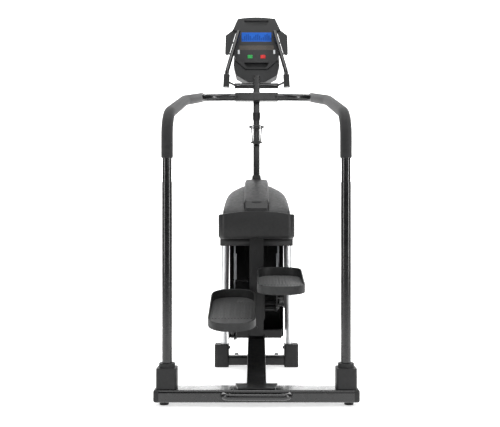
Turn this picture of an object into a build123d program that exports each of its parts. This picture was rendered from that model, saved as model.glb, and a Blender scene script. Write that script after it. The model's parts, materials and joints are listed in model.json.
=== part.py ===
from build123d import *
import math
import os

# Stair climber with two dependent pedals. Millimetres, +X right, +Y forward (away from the user), +Z up.
# The origin is on the floor, midway along the machine's length and on its centre plane.

# ---- Overall sizes and stations along the machine -------------------------------------------------
LENGTH = 1000.0              # lift handle's back to front cover's nose
STABILIZER_WIDTH = 775.0     # over both end caps
POST_INSET = 46.5            # post's axis in from the end cap's outer face
POST_DIAMETER = 38.1
POST_WALL = 1.5
POST_TOP = 847.0             # where the handrail leaves its post
HANDRAIL_WALL = 2.0
CROSSBAR_HEIGHT = 1322.0
HANDLE_DIAMETER = 25.0
HANDLE_REACH = 80.0          # lift handle's axis behind the posts
FIT_CLEARANCE = 0.05         # radial running fit of every shaft and slide
SEAT_CLEARANCE = 0.3         # gap of curved or moving faces that only lie near each other

POST_SPACING = STABILIZER_WIDTH - 2 * POST_INSET
HANDRAIL_DIAMETER = POST_DIAMETER - 2 * POST_WALL - 2 * FIT_CLEARANCE

POST_Y = -LENGTH / 2 + HANDLE_REACH + HANDLE_DIAMETER / 2
UPRIGHT_Y = POST_Y + 505.0       # upright's rear face
FRONT_AXIS_Y = POST_Y + 775.0    # front stabilizer and side tubes
MAST_Y = POST_Y + 785.0
SHROUD_REAR_Y = POST_Y + 440.0
SHROUD_SPLIT_Y = POST_Y + 760.0  # dome meets front cover
SHROUD_FRONT_Y = LENGTH / 2

# ---- Base -----------------------------------------------------------------------------------------
STABILIZER_DEPTH = 100.0
STABILIZER_HEIGHT = 48.0
STABILIZER_BOTTOM = 16.0
STABILIZER_WALL = 3.0
STABILIZER_CORNER = 12.0
END_CAP_LENGTH = 20.0
END_CAP_EDGE = 7.0
FOOT_INSET = 35.5            # foot's axis in from the end cap's outer face
FOOT_SPACING = STABILIZER_WIDTH - 2 * FOOT_INSET
FOOT_DIAMETER = 36.0
FOOT_PAD_HEIGHT = 12.0
FOOT_STEM_DIAMETER = 10.0
FOOT_STEM_TOP = 44.0
HANDLE_WIDTH = 270.0
HANDLE_HEIGHT = 46.0
HANDLE_BEND = 24.0
SADDLE_THICKNESS = 6.0
SADDLE_FRONT_WIDTH = 165.0
SADDLE_REAR_WIDTH = 142.0
SADDLE_LENGTH = 88.0
SPINE_WIDTH = 76.0
SPINE_HEIGHT = 50.0
SPINE_RISE_DEG = 14.5
SPINE_WALL = 3.0
FRONT_TUBE_DEPTH = 50.0
FRONT_TUBE_BOTTOM = 7.0
FRONT_TUBE_HEIGHT = 48.0
FRONT_BOOT_SPACING = 342.0
FRONT_BOOT_SIZE = 69.0
FRONT_BOOT_HEIGHT = 112.0
FRONT_BOOT_CORNER = 10.0
WHEEL_DIAMETER = 50.0
WHEEL_WIDTH = 18.0
WHEEL_SPACING = 200.0
WHEEL_AXLE_DIAMETER = 8.0
WHEEL_REACH = 28.0           # wheel axis ahead of the front tube
WHEEL_LIFT = 31.0            # wheel axis above the floor
WHEEL_EAR = 4.0
BRACE_HALF = 115.0
BRACE_BOTTOM = 177.0
BRACE_HEIGHT = 38.0
BRACE_DEPTH = 30.0

# ---- Upright, side tubes and drive frame ----------------------------------------------------------
UPRIGHT_WIDTH = 64.0
UPRIGHT_DEPTH = 40.0
UPRIGHT_TOP = 640.0
UPRIGHT_WALL = 3.0
PLATE_THICKNESS = 6.0
SIDE_TUBE_DIAMETER = 38.1
SIDE_TUBE_WALL = 2.0
SIDE_TUBE_SEAT = 60.0        # height of the tubes' lower ends, inside the boots
SIDE_TUBE_LOW_X = 160.8
SIDE_TUBE_TOP_X = 153.0
FRAME_BOTTOM = 598.0
FRAME_RAIL_HEIGHT = 34.0
FRAME_RAIL_IN = 45.0
FRAME_RAIL_OUT = 75.0
FRAME_CROSS_HALF = 174.0
FRAME_CROSS_DEPTH = 50.0

# ---- Pedal linkage: points are (Y, Z) --------------------------------------------------------------
ARM_PIVOT = (POST_Y + 640.0, 324.8)
LINK_PIVOT = (POST_Y + 560.0, 305.8)
ARM_LENGTH = 453.0
LINK_LENGTH = 364.0
PIN_SPREAD = 32.0            # arm pin to link pin on the pedal's bracket
ARM_REST_DEG = 8.4           # right arm up, left arm down by this much
BRACKET_DEG = -79.87         # direction from arm pin to link pin, against the tread
ARM_INNER_X = 94.0
ARM_THICKNESS = 16.0
ARM_EYE_RADIUS = 15.0
ARM_HUB_RADIUS = 20.0
ARM_HUB_INNER_X = 88.0
ARM_HUB_OUTER_X = 116.0
ARM_AXLE_DIAMETER = 16.0
ARM_PIN_DIAMETER = 14.0
LINK_THICKNESS = 7.0
LINK_GAP = 1.0
LINK_EYE_RADIUS = 14.0
LINK_AXLE_DIAMETER = 12.0
LINK_PIN_DIAMETER = 10.0
LINK_PIN_CLEARANCE = 3.6     # open pivot: the link's outer eye clears its pin
EAR_THICKNESS = 4.0
SPACER_WALL = 5.0
PEDAL_WIDTH = 195.0
PEDAL_LENGTH = 375.0
PEDAL_GAP = 6.0              # between the two pedals
PEDAL_BASE = 25.0            # underside to tread
PEDAL_HEEL = 35.0            # underside to heel lip's top
PEDAL_TOE = 66.0             # underside to toe wall's top
PEDAL_WALL = 6.0
PEDAL_CORNER = 80.0
PIVOT_FROM_HEEL = 92.5
PIVOT_DROP = 24.0            # arm pin below the pedal's underside
MAT_THICKNESS = 3.0
MAT_RIB = 1.5
MAT_RIB_COUNT = 13
BRACKET_PLATE = 4.0
BRACKET_LENGTH = 110.0
BRACKET_TIP_RADIUS = 13.0

# ---- Drive ----------------------------------------------------------------------------------------
DRIVE_AXIS = (POST_Y + 620.0, 715.0)
DRIVE_SHAFT_DIAMETER = 17.0
DRIVE_SHAFT_HALF = 114.0
DRIVE_PULLEY_RADIUS = 70.0
PULLEY_OUTER_X = -22.0
PULLEY_WIDTH = 16.0
SPROCKET_RADIUS = 34.0
SPROCKET_TEETH = 17
SPROCKET_THICKNESS = 6.0
CLUTCH_RADIUS = 22.0
CLUTCH_LENGTH = 16.0
CHAIN_THICKNESS = 6.0
CHAIN_END = 560.0            # height where the chain hooks to its return spring
SPRING_DIAMETER = 18.0
SPRING_BAR_HEIGHT = 430.0
SPRING_BAR_DIAMETER = 12.0
FLYWHEEL_AXIS = (POST_Y + 775.0, 720.0)
FLYWHEEL_RADIUS = 80.0
FLYWHEEL_THICKNESS = 16.0
FLYWHEEL_INNER_X = -44.0
FLYWHEEL_SHAFT_DIAMETER = 12.0
SMALL_PULLEY_RADIUS = 18.0
ALTERNATOR_RADIUS = 52.0
ALTERNATOR_LENGTH = 60.0
BELT_THICKNESS = 3.0
BEARING_X = 66.0
BEARING_WIDTH = 12.0
BEARING_RADIUS = 20.0

# ---- Shroud ---------------------------------------------------------------------------------------
SHROUD_WALL = 3.0
BAND_BOTTOM = 629.0
BAND_TOP = 741.0
BAND_FACE_HALF = 153.0
BAND_HALF = 172.0
BAND_CHAMFER = 30.0
SKIRT_BOTTOM = 598.0
SKIRT_HALF = 165.0
RIDGE_HALF = 56.0
RIDGE_TOP = 925.0
RIDGE_END_Y = POST_Y + 835.0
COVER_TOP = 909.0
COVER_TOP_HALF = 114.0
LOWER_HALF = 125.0
LOWER_REAR_Y = POST_Y + 570.0
LOWER_FRONT_Y = POST_Y + 830.0
LOWER_BOTTOM = 177.0

# ---- Mast, console and handlebar --------------------------------------------------------------------
MAST_WIDTH = 32.0
MAST_DEPTH = 40.0
MAST_WALL = 2.5
MAST_CORNER = 6.0
MAST_TOP = 1436.0
COLLAR_HEIGHT = 18.0
COLLAR_LIP = 4.0
CONSOLE_FOOT = (POST_Y + 765.0, 1405.0)
CONSOLE_TILT_DEG = 6.0
BEZEL_DEPTH = 25.0
CONSOLE_DEPTH = 75.0
CONSOLE_WALL = 4.0
WING_THICKNESS = 12.0
BUTTON_WIDTH = 25.0
BUTTON_HEIGHT = 18.0
BUTTON_SPACING = 64.0
BUTTON_LEVEL = 128.0         # up the console's face from its foot
BUTTON_PROUD = 1.6
BUTTON_DEPTH = 5.0
BUTTON_WELL = 8.5
KEY_WIDTH = 9.0
KEY_HEIGHT = 20.0
KEY_SPACING = 176.0
KEY_LEVEL = 152.0
LCD_WIDTH = 148.0
LCD_HEIGHT = 47.0
LCD_LEVEL = 229.0
LCD_THICKNESS = 2.0
STRIP_WIDTH = 171.0
STRIP_HEIGHT = 23.0
STRIP_LEVEL = 174.0
STRIP_THICKNESS = 1.0
BAR_DIAMETER = 27.0
BAR_HEIGHT = 1389.0
BAR_HALF = 108.0
NECK_DIAMETER = 10.0
GRIP_TUBE_DIAMETER = 20.0
PULSE_GRIP_DIAMETER = 30.0
CAGE_ROD_RADIUS = 3.2
CAGE_WIRE_DIAMETER = 5.2
CAGE_RING_RADIUS = 35.0
CAGE_RING_HEIGHT = 1175.0
CAGE_BASE_RADIUS = 27.0
CAGE_BASE_HEIGHT = 1100.0
CAGE_TOP = 1250.0
FOAM_WALL = 5.0
BRACKET_HEIGHT = 41.0
BRACKET_HALF = 104.0

PART_DIR = "parts"


def save(part, label):
    """Name a finished piece and write it as its own STEP file."""
    part.label = label
    export_step(part, f"{PART_DIR}/{label}.step")


def spine_top(y):
    """Height of the spine's upper face at station y."""
    start = POST_Y + STABILIZER_DEPTH / 2
    return STABILIZER_BOTTOM + STABILIZER_HEIGHT + SADDLE_THICKNESS \
        + (y - start) * math.tan(math.radians(SPINE_RISE_DEG))


def side_name(side):
    return "right" if side > 0 else "left"


def slab(side, inner, outer):
    """Start plane and thickness of a slab between two distances from the centre plane."""
    start = inner if side > 0 else -outer
    return Plane.YZ.offset(start), outer - inner


def polar(point, length, degrees):
    """The (Y, Z) point at a length and direction from another."""
    angle = math.radians(degrees)
    return point[0] + length * math.cos(angle), point[1] + length * math.sin(angle)


def arm_pin(side):
    """Where the arm carries its pedal, at rest."""
    return polar(ARM_PIVOT, ARM_LENGTH, 180.0 - side * ARM_REST_DEG)


def link_pin(side):
    """Where the levelling link meets the pedal's bracket: the lower meeting point of two circles."""
    y0, z0 = arm_pin(side)
    dy, dz = LINK_PIVOT[0] - y0, LINK_PIVOT[1] - z0
    distance = math.hypot(dy, dz)
    along = (PIN_SPREAD ** 2 - LINK_LENGTH ** 2 + distance ** 2) / (2 * distance)
    across = math.sqrt(PIN_SPREAD ** 2 - along ** 2)
    return (y0 + (along * dy + across * dz) / distance,
            z0 + (along * dz - across * dy) / distance)


def pedal_plane(side):
    """Pedal's own plane: origin at the heel's underside, local x right, y toward the toe, z up."""
    pin, lower = arm_pin(side), link_pin(side)
    tilt = math.atan2(lower[1] - pin[1], lower[0] - pin[0]) - math.radians(BRACKET_DEG)
    forward = (math.cos(tilt), math.sin(tilt))
    up = (-math.sin(tilt), math.cos(tilt))
    heel_y = pin[0] - PIVOT_FROM_HEEL * forward[0] + PIVOT_DROP * up[0]
    heel_z = pin[1] - PIVOT_FROM_HEEL * forward[1] + PIVOT_DROP * up[1]
    centre_x = side * (PEDAL_GAP / 2 + PEDAL_WIDTH / 2)
    return Plane(origin=(centre_x, heel_y, heel_z), x_dir=(1, 0, 0), z_dir=(0, up[0], up[1]))


def face_plane(depth=0.0):
    """Plane of the console's face, local x right and y up the face, moved out by depth."""
    tilt = math.radians(CONSOLE_TILT_DEG)
    face = Plane(origin=(0, CONSOLE_FOOT[0], CONSOLE_FOOT[1]), x_dir=(1, 0, 0),
                 z_dir=(0, -math.cos(tilt), math.sin(tilt)))
    return face.offset(depth)


def tube_along(points, bends, outer, inner=0.0):
    """A tube swept along straight runs joined by arcs."""
    with BuildPart() as tube:
        with BuildLine() as path:
            FilletPolyline(*points, radius=bends)
        with BuildSketch(Plane(origin=path.line @ 0, z_dir=path.line % 0)):
            Circle(outer / 2)
            if inner > 0:
                Circle(inner / 2, mode=Mode.SUBTRACT)
        sweep(path=path.line)
    return tube.part


def straight_tube(start, end, outer, inner=0.0):
    """A straight round tube or rod between two points."""
    first, last = Vector(*start), Vector(*end)
    with BuildPart() as tube:
        with BuildSketch(Plane(origin=start, z_dir=last - first)):
            Circle(outer / 2)
            if inner > 0:
                Circle(inner / 2, mode=Mode.SUBTRACT)
        extrude(amount=(last - first).length)
    return tube.part


def rod_ring(centre, radius, rod_radius):
    """A level ring bent from rod, with eight flats round its section so that wires join it cleanly."""
    with BuildPart() as ring:
        with BuildSketch(Plane(origin=centre, x_dir=(1, 0, 0), z_dir=(0, -1, 0))):
            with Locations((radius, 0)):
                RegularPolygon(rod_radius, 8)
        revolve(axis=Axis(centre, (0, 0, 1)))
    return ring.part


# ---- Base -------------------------------------------------------------------------------------------
def build_rear_stabilizer():
    middle = STABILIZER_BOTTOM + STABILIZER_HEIGHT / 2
    length = STABILIZER_WIDTH - 2 * END_CAP_LENGTH
    with BuildPart() as tube:
        with BuildSketch(Plane(origin=(-length / 2, POST_Y, middle), x_dir=(0, 1, 0), z_dir=(1, 0, 0))):
            RectangleRounded(STABILIZER_DEPTH, STABILIZER_HEIGHT, STABILIZER_CORNER)
            RectangleRounded(STABILIZER_DEPTH - 2 * STABILIZER_WALL,
                             STABILIZER_HEIGHT - 2 * STABILIZER_WALL,
                             STABILIZER_CORNER - STABILIZER_WALL, mode=Mode.SUBTRACT)
        extrude(amount=length)
        with BuildSketch(Plane.XY.offset(STABILIZER_BOTTOM)):
            with Locations((-FOOT_SPACING / 2, POST_Y), (FOOT_SPACING / 2, POST_Y)):
                Circle(FOOT_STEM_DIAMETER / 2 + FIT_CLEARANCE)
        extrude(amount=STABILIZER_WALL, mode=Mode.SUBTRACT)
    save(tube.part, "rear_stabilizer")

    with BuildPart() as caps:
        for side in (-1, 1):
            start = side * length / 2
            with BuildSketch(Plane(origin=(start, POST_Y, middle), x_dir=(0, 1, 0), z_dir=(side, 0, 0))):
                RectangleRounded(STABILIZER_DEPTH, STABILIZER_HEIGHT, STABILIZER_CORNER)
            extrude(amount=END_CAP_LENGTH)
        outer_faces = caps.faces().filter_by(Axis.X)
        ends = outer_faces.sort_by(Axis.X)[:1] + outer_faces.sort_by(Axis.X)[-1:]
        fillet(ends.edges(), END_CAP_EDGE)
    save(caps.part, "rear_end_caps")


def build_feet():
    for side in (-1, 1):
        centre = (side * FOOT_SPACING / 2, POST_Y)
        with BuildPart() as foot:
            with BuildSketch():
                with Locations(centre):
                    Circle(FOOT_DIAMETER / 2)
            extrude(amount=FOOT_PAD_HEIGHT)
            chamfer(foot.edges().group_by(Axis.Z)[-1], 3.0)
            with BuildSketch(Plane.XY.offset(FOOT_PAD_HEIGHT)):
                with Locations(centre):
                    RegularPolygon(9.0, 6)
            extrude(amount=STABILIZER_BOTTOM - FOOT_PAD_HEIGHT)
            with BuildSketch(Plane.XY.offset(STABILIZER_BOTTOM)):
                with Locations(centre):
                    Circle(FOOT_STEM_DIAMETER / 2)
            extrude(amount=FOOT_STEM_TOP - STABILIZER_BOTTOM)
        save(foot.part, f"{side_name(side)}_foot")


def build_lift_handle():
    half = HANDLE_WIDTH / 2 - HANDLE_DIAMETER / 2
    root = POST_Y - STABILIZER_DEPTH / 2
    back = POST_Y - HANDLE_REACH
    points = [(-half, root, HANDLE_HEIGHT), (-half, back, HANDLE_HEIGHT),
              (half, back, HANDLE_HEIGHT), (half, root, HANDLE_HEIGHT)]
    save(tube_along(points, HANDLE_BEND, HANDLE_DIAMETER, HANDLE_DIAMETER - 2 * HANDRAIL_WALL),
         "lift_handle")


def build_spine():
    """Rising centre beam with its saddle plate, the leg down to the front tube and the cross brace."""
    rear = POST_Y + STABILIZER_DEPTH / 2
    crest = UPRIGHT_Y + UPRIGHT_DEPTH
    front = FRONT_AXIS_Y - FRONT_TUBE_DEPTH / 2
    leg_top = FRONT_TUBE_BOTTOM + FRONT_TUBE_HEIGHT
    leg_bottom = FRONT_TUBE_BOTTOM + SPINE_WALL
    outline = [(rear, spine_top(rear)), (crest, spine_top(crest)),
               (crest + SPINE_HEIGHT * 0.7, spine_top(crest)),
               (front, leg_top), (front, leg_bottom), (front - SPINE_HEIGHT, leg_bottom),
               (crest, spine_top(crest) - SPINE_HEIGHT), (rear, spine_top(rear) - SPINE_HEIGHT)]
    with BuildPart() as spine:
        with BuildSketch(Plane.YZ.offset(-SPINE_WIDTH / 2)) as profile:
            with BuildLine():
                Polyline(*outline, close=True)
            make_face()
        extrude(amount=SPINE_WIDTH)
        with BuildSketch(Plane.YZ.offset(-SPINE_WIDTH / 2 + SPINE_WALL)):
            add(profile.sketch.moved(Location((SPINE_WALL, 0, 0))))
            offset(amount=-SPINE_WALL, mode=Mode.REPLACE)
        extrude(amount=SPINE_WIDTH - 2 * SPINE_WALL, mode=Mode.SUBTRACT)
        with BuildSketch(Plane.XY.offset(STABILIZER_BOTTOM + STABILIZER_HEIGHT)):
            with BuildLine():
                Polyline((-SADDLE_REAR_WIDTH / 2, rear - SADDLE_LENGTH),
                         (SADDLE_REAR_WIDTH / 2, rear - SADDLE_LENGTH),
                         (SADDLE_FRONT_WIDTH / 2, rear), (-SADDLE_FRONT_WIDTH / 2, rear), close=True)
            make_face()
        extrude(amount=SADDLE_THICKNESS)
        for side in (-1, 1):
            plane, width = slab(side, UPRIGHT_WIDTH / 2, BRACE_HALF)
            with BuildSketch(plane):
                with Locations((crest - BRACE_DEPTH / 2, BRACE_BOTTOM + BRACE_HEIGHT / 2)):
                    RectangleRounded(BRACE_DEPTH, BRACE_HEIGHT, SPINE_WALL)
            extrude(amount=width)
    save(spine.part, "spine_beam")


def build_front_stabilizer():
    half = FRONT_BOOT_SPACING / 2 - FRONT_BOOT_SIZE / 2
    middle = FRONT_TUBE_BOTTOM + FRONT_TUBE_HEIGHT / 2
    wheel_y = FRONT_AXIS_Y + FRONT_TUBE_DEPTH / 2 + WHEEL_REACH
    gap = WHEEL_WIDTH / 2 + SEAT_CLEARANCE
    with BuildPart() as tube:
        with BuildSketch(Plane(origin=(-half, FRONT_AXIS_Y, middle), x_dir=(0, 1, 0), z_dir=(1, 0, 0))):
            RectangleRounded(FRONT_TUBE_DEPTH, FRONT_TUBE_HEIGHT, STABILIZER_CORNER)
            RectangleRounded(FRONT_TUBE_DEPTH - 2 * STABILIZER_WALL, FRONT_TUBE_HEIGHT - 2 * STABILIZER_WALL,
                             STABILIZER_CORNER - STABILIZER_WALL, mode=Mode.SUBTRACT)
        extrude(amount=2 * half)
        for side in (-1, 1):
            for ear in (-1, 1):
                centre = side * WHEEL_SPACING / 2 + ear * (gap + WHEEL_EAR / 2)
                with BuildSketch(Plane.YZ.offset(centre - WHEEL_EAR / 2)):
                    with Locations((wheel_y, WHEEL_LIFT)):
                        Circle(WHEEL_AXLE_DIAMETER)
                    with Locations((wheel_y - WHEEL_REACH / 2 - 1.0, WHEEL_LIFT)):
                        Rectangle(WHEEL_REACH + 2.0, 2 * WHEEL_AXLE_DIAMETER)
                extrude(amount=WHEEL_EAR)
            with BuildSketch(Plane.YZ.offset(side * WHEEL_SPACING / 2 - gap)):
                with Locations((wheel_y, WHEEL_LIFT)):
                    Circle(WHEEL_AXLE_DIAMETER / 2)
            extrude(amount=2 * gap)
    save(tube.part, "front_stabilizer")

    for side in (-1, 1):
        with BuildPart() as wheel:
            with BuildSketch(Plane.YZ.offset(side * WHEEL_SPACING / 2 - WHEEL_WIDTH / 2)):
                with Locations((wheel_y, WHEEL_LIFT)):
                    Circle(WHEEL_DIAMETER / 2)
                    Circle(WHEEL_AXLE_DIAMETER / 2 + FIT_CLEARANCE, mode=Mode.SUBTRACT)
            extrude(amount=WHEEL_WIDTH)
            circles = wheel.edges().filter_by(GeomType.CIRCLE)
            fillet(circles.filter_by(lambda edge: edge.radius > WHEEL_AXLE_DIAMETER), 3.0)
        save(wheel.part, f"{side_name(side)}_wheel")


def side_tube_ends(side):
    """Lower and upper ends of a side tube's axis."""
    return ((side * SIDE_TUBE_LOW_X, FRONT_AXIS_Y, SIDE_TUBE_SEAT),
            (side * SIDE_TUBE_TOP_X, FRONT_AXIS_Y, FRAME_BOTTOM - 2 * SEAT_CLEARANCE))


def build_front_boots_and_side_tubes():
    with BuildPart() as boots:
        for side in (-1, 1):
            centre = (side * FRONT_BOOT_SPACING / 2, FRONT_AXIS_Y)
            with BuildSketch():
                with Locations(centre):
                    RectangleRounded(FRONT_BOOT_SIZE, FRONT_BOOT_SIZE, FRONT_BOOT_CORNER)
            extrude(amount=FRONT_BOOT_HEIGHT)
        chamfer(boots.edges().group_by(Axis.Z)[-1], 3.0)
        for side in (-1, 1):
            low, high = side_tube_ends(side)
            add(straight_tube(low, high, SIDE_TUBE_DIAMETER + 2 * FIT_CLEARANCE), mode=Mode.SUBTRACT)
            inner = side * (FRONT_BOOT_SPACING / 2 - FRONT_BOOT_SIZE / 2)
            with BuildSketch(Plane.XZ.offset(-FRONT_AXIS_Y - 4.0)):
                with BuildLine():
                    Polyline((inner, 82.0), (inner - side * 9.0, 94.0), (inner, 104.0), close=True)
                make_face()
            extrude(amount=8.0)
    save(boots.part, "front_boots")

    with BuildPart() as tubes:
        for side in (-1, 1):
            low, high = side_tube_ends(side)
            add(straight_tube(low, high, SIDE_TUBE_DIAMETER, SIDE_TUBE_DIAMETER - 2 * SIDE_TUBE_WALL))
    save(tubes.part, "side_tubes")


# ---- Posts and handrails ----------------------------------------------------------------------------
BOOT_TOP = 159.0
BOOT_TOP_DIAMETER = 61.0
BOOT_BASE_DIAMETER = 68.0
BOOT_FLANGE_HALF = 38.0
BOOT_FLANGE_HEIGHT = 78.0
POST_SEAT = 84.0


def build_posts():
    base = STABILIZER_BOTTOM + STABILIZER_HEIGHT
    with BuildPart() as boots:
        for side in (-1, 1):
            centre = (side * POST_SPACING / 2, POST_Y)
            with BuildSketch(Plane.XY.offset(base)):
                with Locations(centre):
                    Circle(BOOT_BASE_DIAMETER / 2)
            with BuildSketch(Plane.XY.offset(BOOT_TOP)):
                with Locations(centre):
                    Circle(BOOT_TOP_DIAMETER / 2)
            loft()
            with BuildSketch(Plane.XY.offset(base)):
                with Locations(centre):
                    RectangleRounded(2 * BOOT_FLANGE_HALF, 2 * BOOT_FLANGE_HALF, FRONT_BOOT_CORNER)
            extrude(amount=BOOT_FLANGE_HEIGHT)
            with BuildSketch(Plane.XY.offset(POST_SEAT)):
                with Locations(centre):
                    Circle(POST_DIAMETER / 2 + FIT_CLEARANCE)
            extrude(amount=BOOT_TOP - POST_SEAT, mode=Mode.SUBTRACT)
    save(boots.part, "post_boots")

    with BuildPart() as posts:
        for side in (-1, 1):
            with BuildSketch(Plane.XY.offset(POST_SEAT)):
                with Locations((side * POST_SPACING / 2, POST_Y)):
                    Circle(POST_DIAMETER / 2)
                    Circle(POST_DIAMETER / 2 - POST_WALL, mode=Mode.SUBTRACT)
            extrude(amount=POST_TOP - POST_SEAT)
    save(posts.part, "handrail_posts")


RAIL_KNEE_HEIGHT = 1105.0
RAIL_INSERT = 90.0           # length of handrail inside its post
FOAM_START = 939.0
RAIL_BENDS = [110.0, 250.0, 150.0]
CROSSBAR_Y = POST_Y + 735.0


def rail_points(side, start):
    """Handrail's axis: up the post, forward and up over the user's side, then in to the mast."""
    outer = POST_SPACING / 2
    return [(side * outer, POST_Y, start), (side * outer, POST_Y, RAIL_KNEE_HEIGHT),
            (side * (outer - 21.0), POST_Y + 450.0, RAIL_KNEE_HEIGHT + 145.0),
            (side * (outer - 79.0), CROSSBAR_Y, CROSSBAR_HEIGHT),
            (side * BRACKET_HALF, CROSSBAR_Y, CROSSBAR_HEIGHT)]


def foam_points(side):
    """Foam grip's axis: the handrail's own, from above the post to short of the forward bend."""
    points = rail_points(side, FOAM_START)[:3]
    knee, end = Vector(*points[1]), Vector(*points[2])
    points[2] = tuple(knee + (end - knee) * 0.94)
    return points


def build_handrails():
    with BuildPart() as rails:
        for side in (-1, 1):
            add(tube_along(rail_points(side, POST_TOP - RAIL_INSERT), RAIL_BENDS,
                           HANDRAIL_DIAMETER, HANDRAIL_DIAMETER - 2 * HANDRAIL_WALL))
    save(rails.part, "handrails")

    with BuildPart() as grips:
        for side in (-1, 1):
            add(tube_along(foam_points(side), RAIL_BENDS[0],
                           HANDRAIL_DIAMETER + 2 * FOAM_WALL, HANDRAIL_DIAMETER))
    save(grips.part, "handrail_grips")


def build_handrail_bracket():
    """Channel across the mast's rear face that closes on the two handrails' ends."""
    rear = MAST_Y - MAST_DEPTH / 2
    depth = rear - CROSSBAR_Y + HANDRAIL_DIAMETER / 2 + 3.0
    with BuildPart() as bracket:
        with BuildSketch(Plane.YZ.offset(-BRACKET_HALF)):
            with Locations((rear - depth / 2, CROSSBAR_HEIGHT)):
                RectangleRounded(depth, BRACKET_HEIGHT, 6.0)
        extrude(amount=2 * BRACKET_HALF)
    save(bracket.part, "handrail_bracket")


# ---- Upright and pivots -------------------------------------------------------------------------------
PIVOT_PLATE_REAR = UPRIGHT_Y + 6.0
SPRING_BAR_POINT = (DRIVE_AXIS[0] + SPROCKET_RADIUS + SEAT_CLEARANCE + CHAIN_THICKNESS / 2, SPRING_BAR_HEIGHT)


def build_upright():
    front = UPRIGHT_Y + UPRIGHT_DEPTH
    nose = ARM_PIVOT[0] + 34.0
    with BuildPart() as upright:
        with BuildSketch(Plane.YZ.offset(-UPRIGHT_WIDTH / 2)):
            with BuildLine():
                Polyline((UPRIGHT_Y, spine_top(UPRIGHT_Y)), (front, spine_top(front)),
                         (front, UPRIGHT_TOP), (UPRIGHT_Y, UPRIGHT_TOP), close=True)
            make_face()
        extrude(amount=UPRIGHT_WIDTH)
        with BuildSketch(Plane.XY.offset(spine_top(front) + UPRIGHT_WALL)):
            with Locations((0, UPRIGHT_Y + UPRIGHT_DEPTH / 2)):
                Rectangle(UPRIGHT_WIDTH - 2 * UPRIGHT_WALL, UPRIGHT_DEPTH - 2 * UPRIGHT_WALL)
        extrude(amount=UPRIGHT_TOP - spine_top(front) - UPRIGHT_WALL, mode=Mode.SUBTRACT)
        for side in (-1, 1):
            plane, width = slab(side, UPRIGHT_WIDTH / 2, UPRIGHT_WIDTH / 2 + PLATE_THICKNESS)
            with BuildSketch(plane):
                with BuildLine():
                    Polyline((PIVOT_PLATE_REAR, 262.0), (nose, 290.0), (nose, 360.0),
                             (SPRING_BAR_POINT[0] + 16.0, SPRING_BAR_HEIGHT + 16.0),
                             (SPRING_BAR_POINT[0] - 16.0, SPRING_BAR_HEIGHT + 16.0),
                             (PIVOT_PLATE_REAR, 400.0), close=True)
                make_face()
                for point, diameter in ((ARM_PIVOT, ARM_AXLE_DIAMETER), (LINK_PIVOT, LINK_AXLE_DIAMETER),
                                        (SPRING_BAR_POINT, SPRING_BAR_DIAMETER)):
                    with Locations(point):
                        Circle(diameter / 2, mode=Mode.SUBTRACT)
            extrude(amount=width)
    save(upright.part, "upright_frame")

    plates_out = UPRIGHT_WIDTH / 2 + PLATE_THICKNESS
    link_inner = ARM_INNER_X - LINK_GAP - LINK_THICKNESS
    with BuildPart() as axles:
        for point, diameter, half in ((ARM_PIVOT, ARM_AXLE_DIAMETER, ARM_HUB_OUTER_X),
                                      (LINK_PIVOT, LINK_AXLE_DIAMETER, ARM_INNER_X - LINK_GAP),
                                      (SPRING_BAR_POINT, SPRING_BAR_DIAMETER, ARM_HUB_OUTER_X)):
            with BuildSketch(Plane.YZ.offset(-half)):
                with Locations(point):
                    Circle(diameter / 2)
            extrude(amount=2 * half)
        for side in (-1, 1):
            for point, diameter, reach in ((ARM_PIVOT, ARM_AXLE_DIAMETER, ARM_HUB_INNER_X),
                                           (LINK_PIVOT, LINK_AXLE_DIAMETER, link_inner)):
                plane, width = slab(side, plates_out, reach - SEAT_CLEARANCE)
                with BuildSketch(plane):
                    with Locations(point):
                        Circle(diameter / 2 + SPACER_WALL)
                extrude(amount=width)
    save(axles.part, "pivot_axles")


# ---- Pedals, arms and links ---------------------------------------------------------------------------
LUG_TOP_Y = 55.0             # chain anchor's distance behind the arm pivot
LUG_WIDTH = 12.0
LUG_RISE = 12.0


def lug_top(side):
    """Height of the arm's chain lug."""
    return ARM_PIVOT[1] + side * LUG_TOP_Y * math.tan(math.radians(ARM_REST_DEG)) + ARM_HUB_RADIUS + LUG_RISE


def chain_y():
    """Station of the chain's rear run."""
    return DRIVE_AXIS[0] - SPROCKET_RADIUS - SEAT_CLEARANCE - CHAIN_THICKNESS / 2


def build_arm(side):
    eye = arm_pin(side)
    plane, width = slab(side, ARM_INNER_X, ARM_INNER_X + ARM_THICKNESS)
    hub_plane, hub_width = slab(side, ARM_HUB_INNER_X, ARM_HUB_OUTER_X)
    bore = ARM_AXLE_DIAMETER / 2 + FIT_CLEARANCE
    with BuildPart() as arm:
        with BuildSketch(plane):
            with BuildLine():
                CenterArc(ARM_PIVOT, ARM_HUB_RADIUS, 0, 360)
                CenterArc(eye, ARM_EYE_RADIUS, 0, 360)
            make_hull()
            with Locations((chain_y(), lug_top(side) - (ARM_HUB_RADIUS + LUG_RISE) / 2)):
                Rectangle(LUG_WIDTH, ARM_HUB_RADIUS + LUG_RISE)
        extrude(amount=width)
        with BuildSketch(hub_plane):
            with Locations(ARM_PIVOT):
                Circle(ARM_HUB_RADIUS)
        extrude(amount=hub_width)
        with BuildSketch(hub_plane):
            with Locations(ARM_PIVOT):
                Circle(bore)
            with Locations(eye):
                Circle(ARM_PIN_DIAMETER / 2 + FIT_CLEARANCE)
        extrude(amount=hub_width, mode=Mode.SUBTRACT)
    save(arm.part, f"{side_name(side)}_arm")


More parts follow.
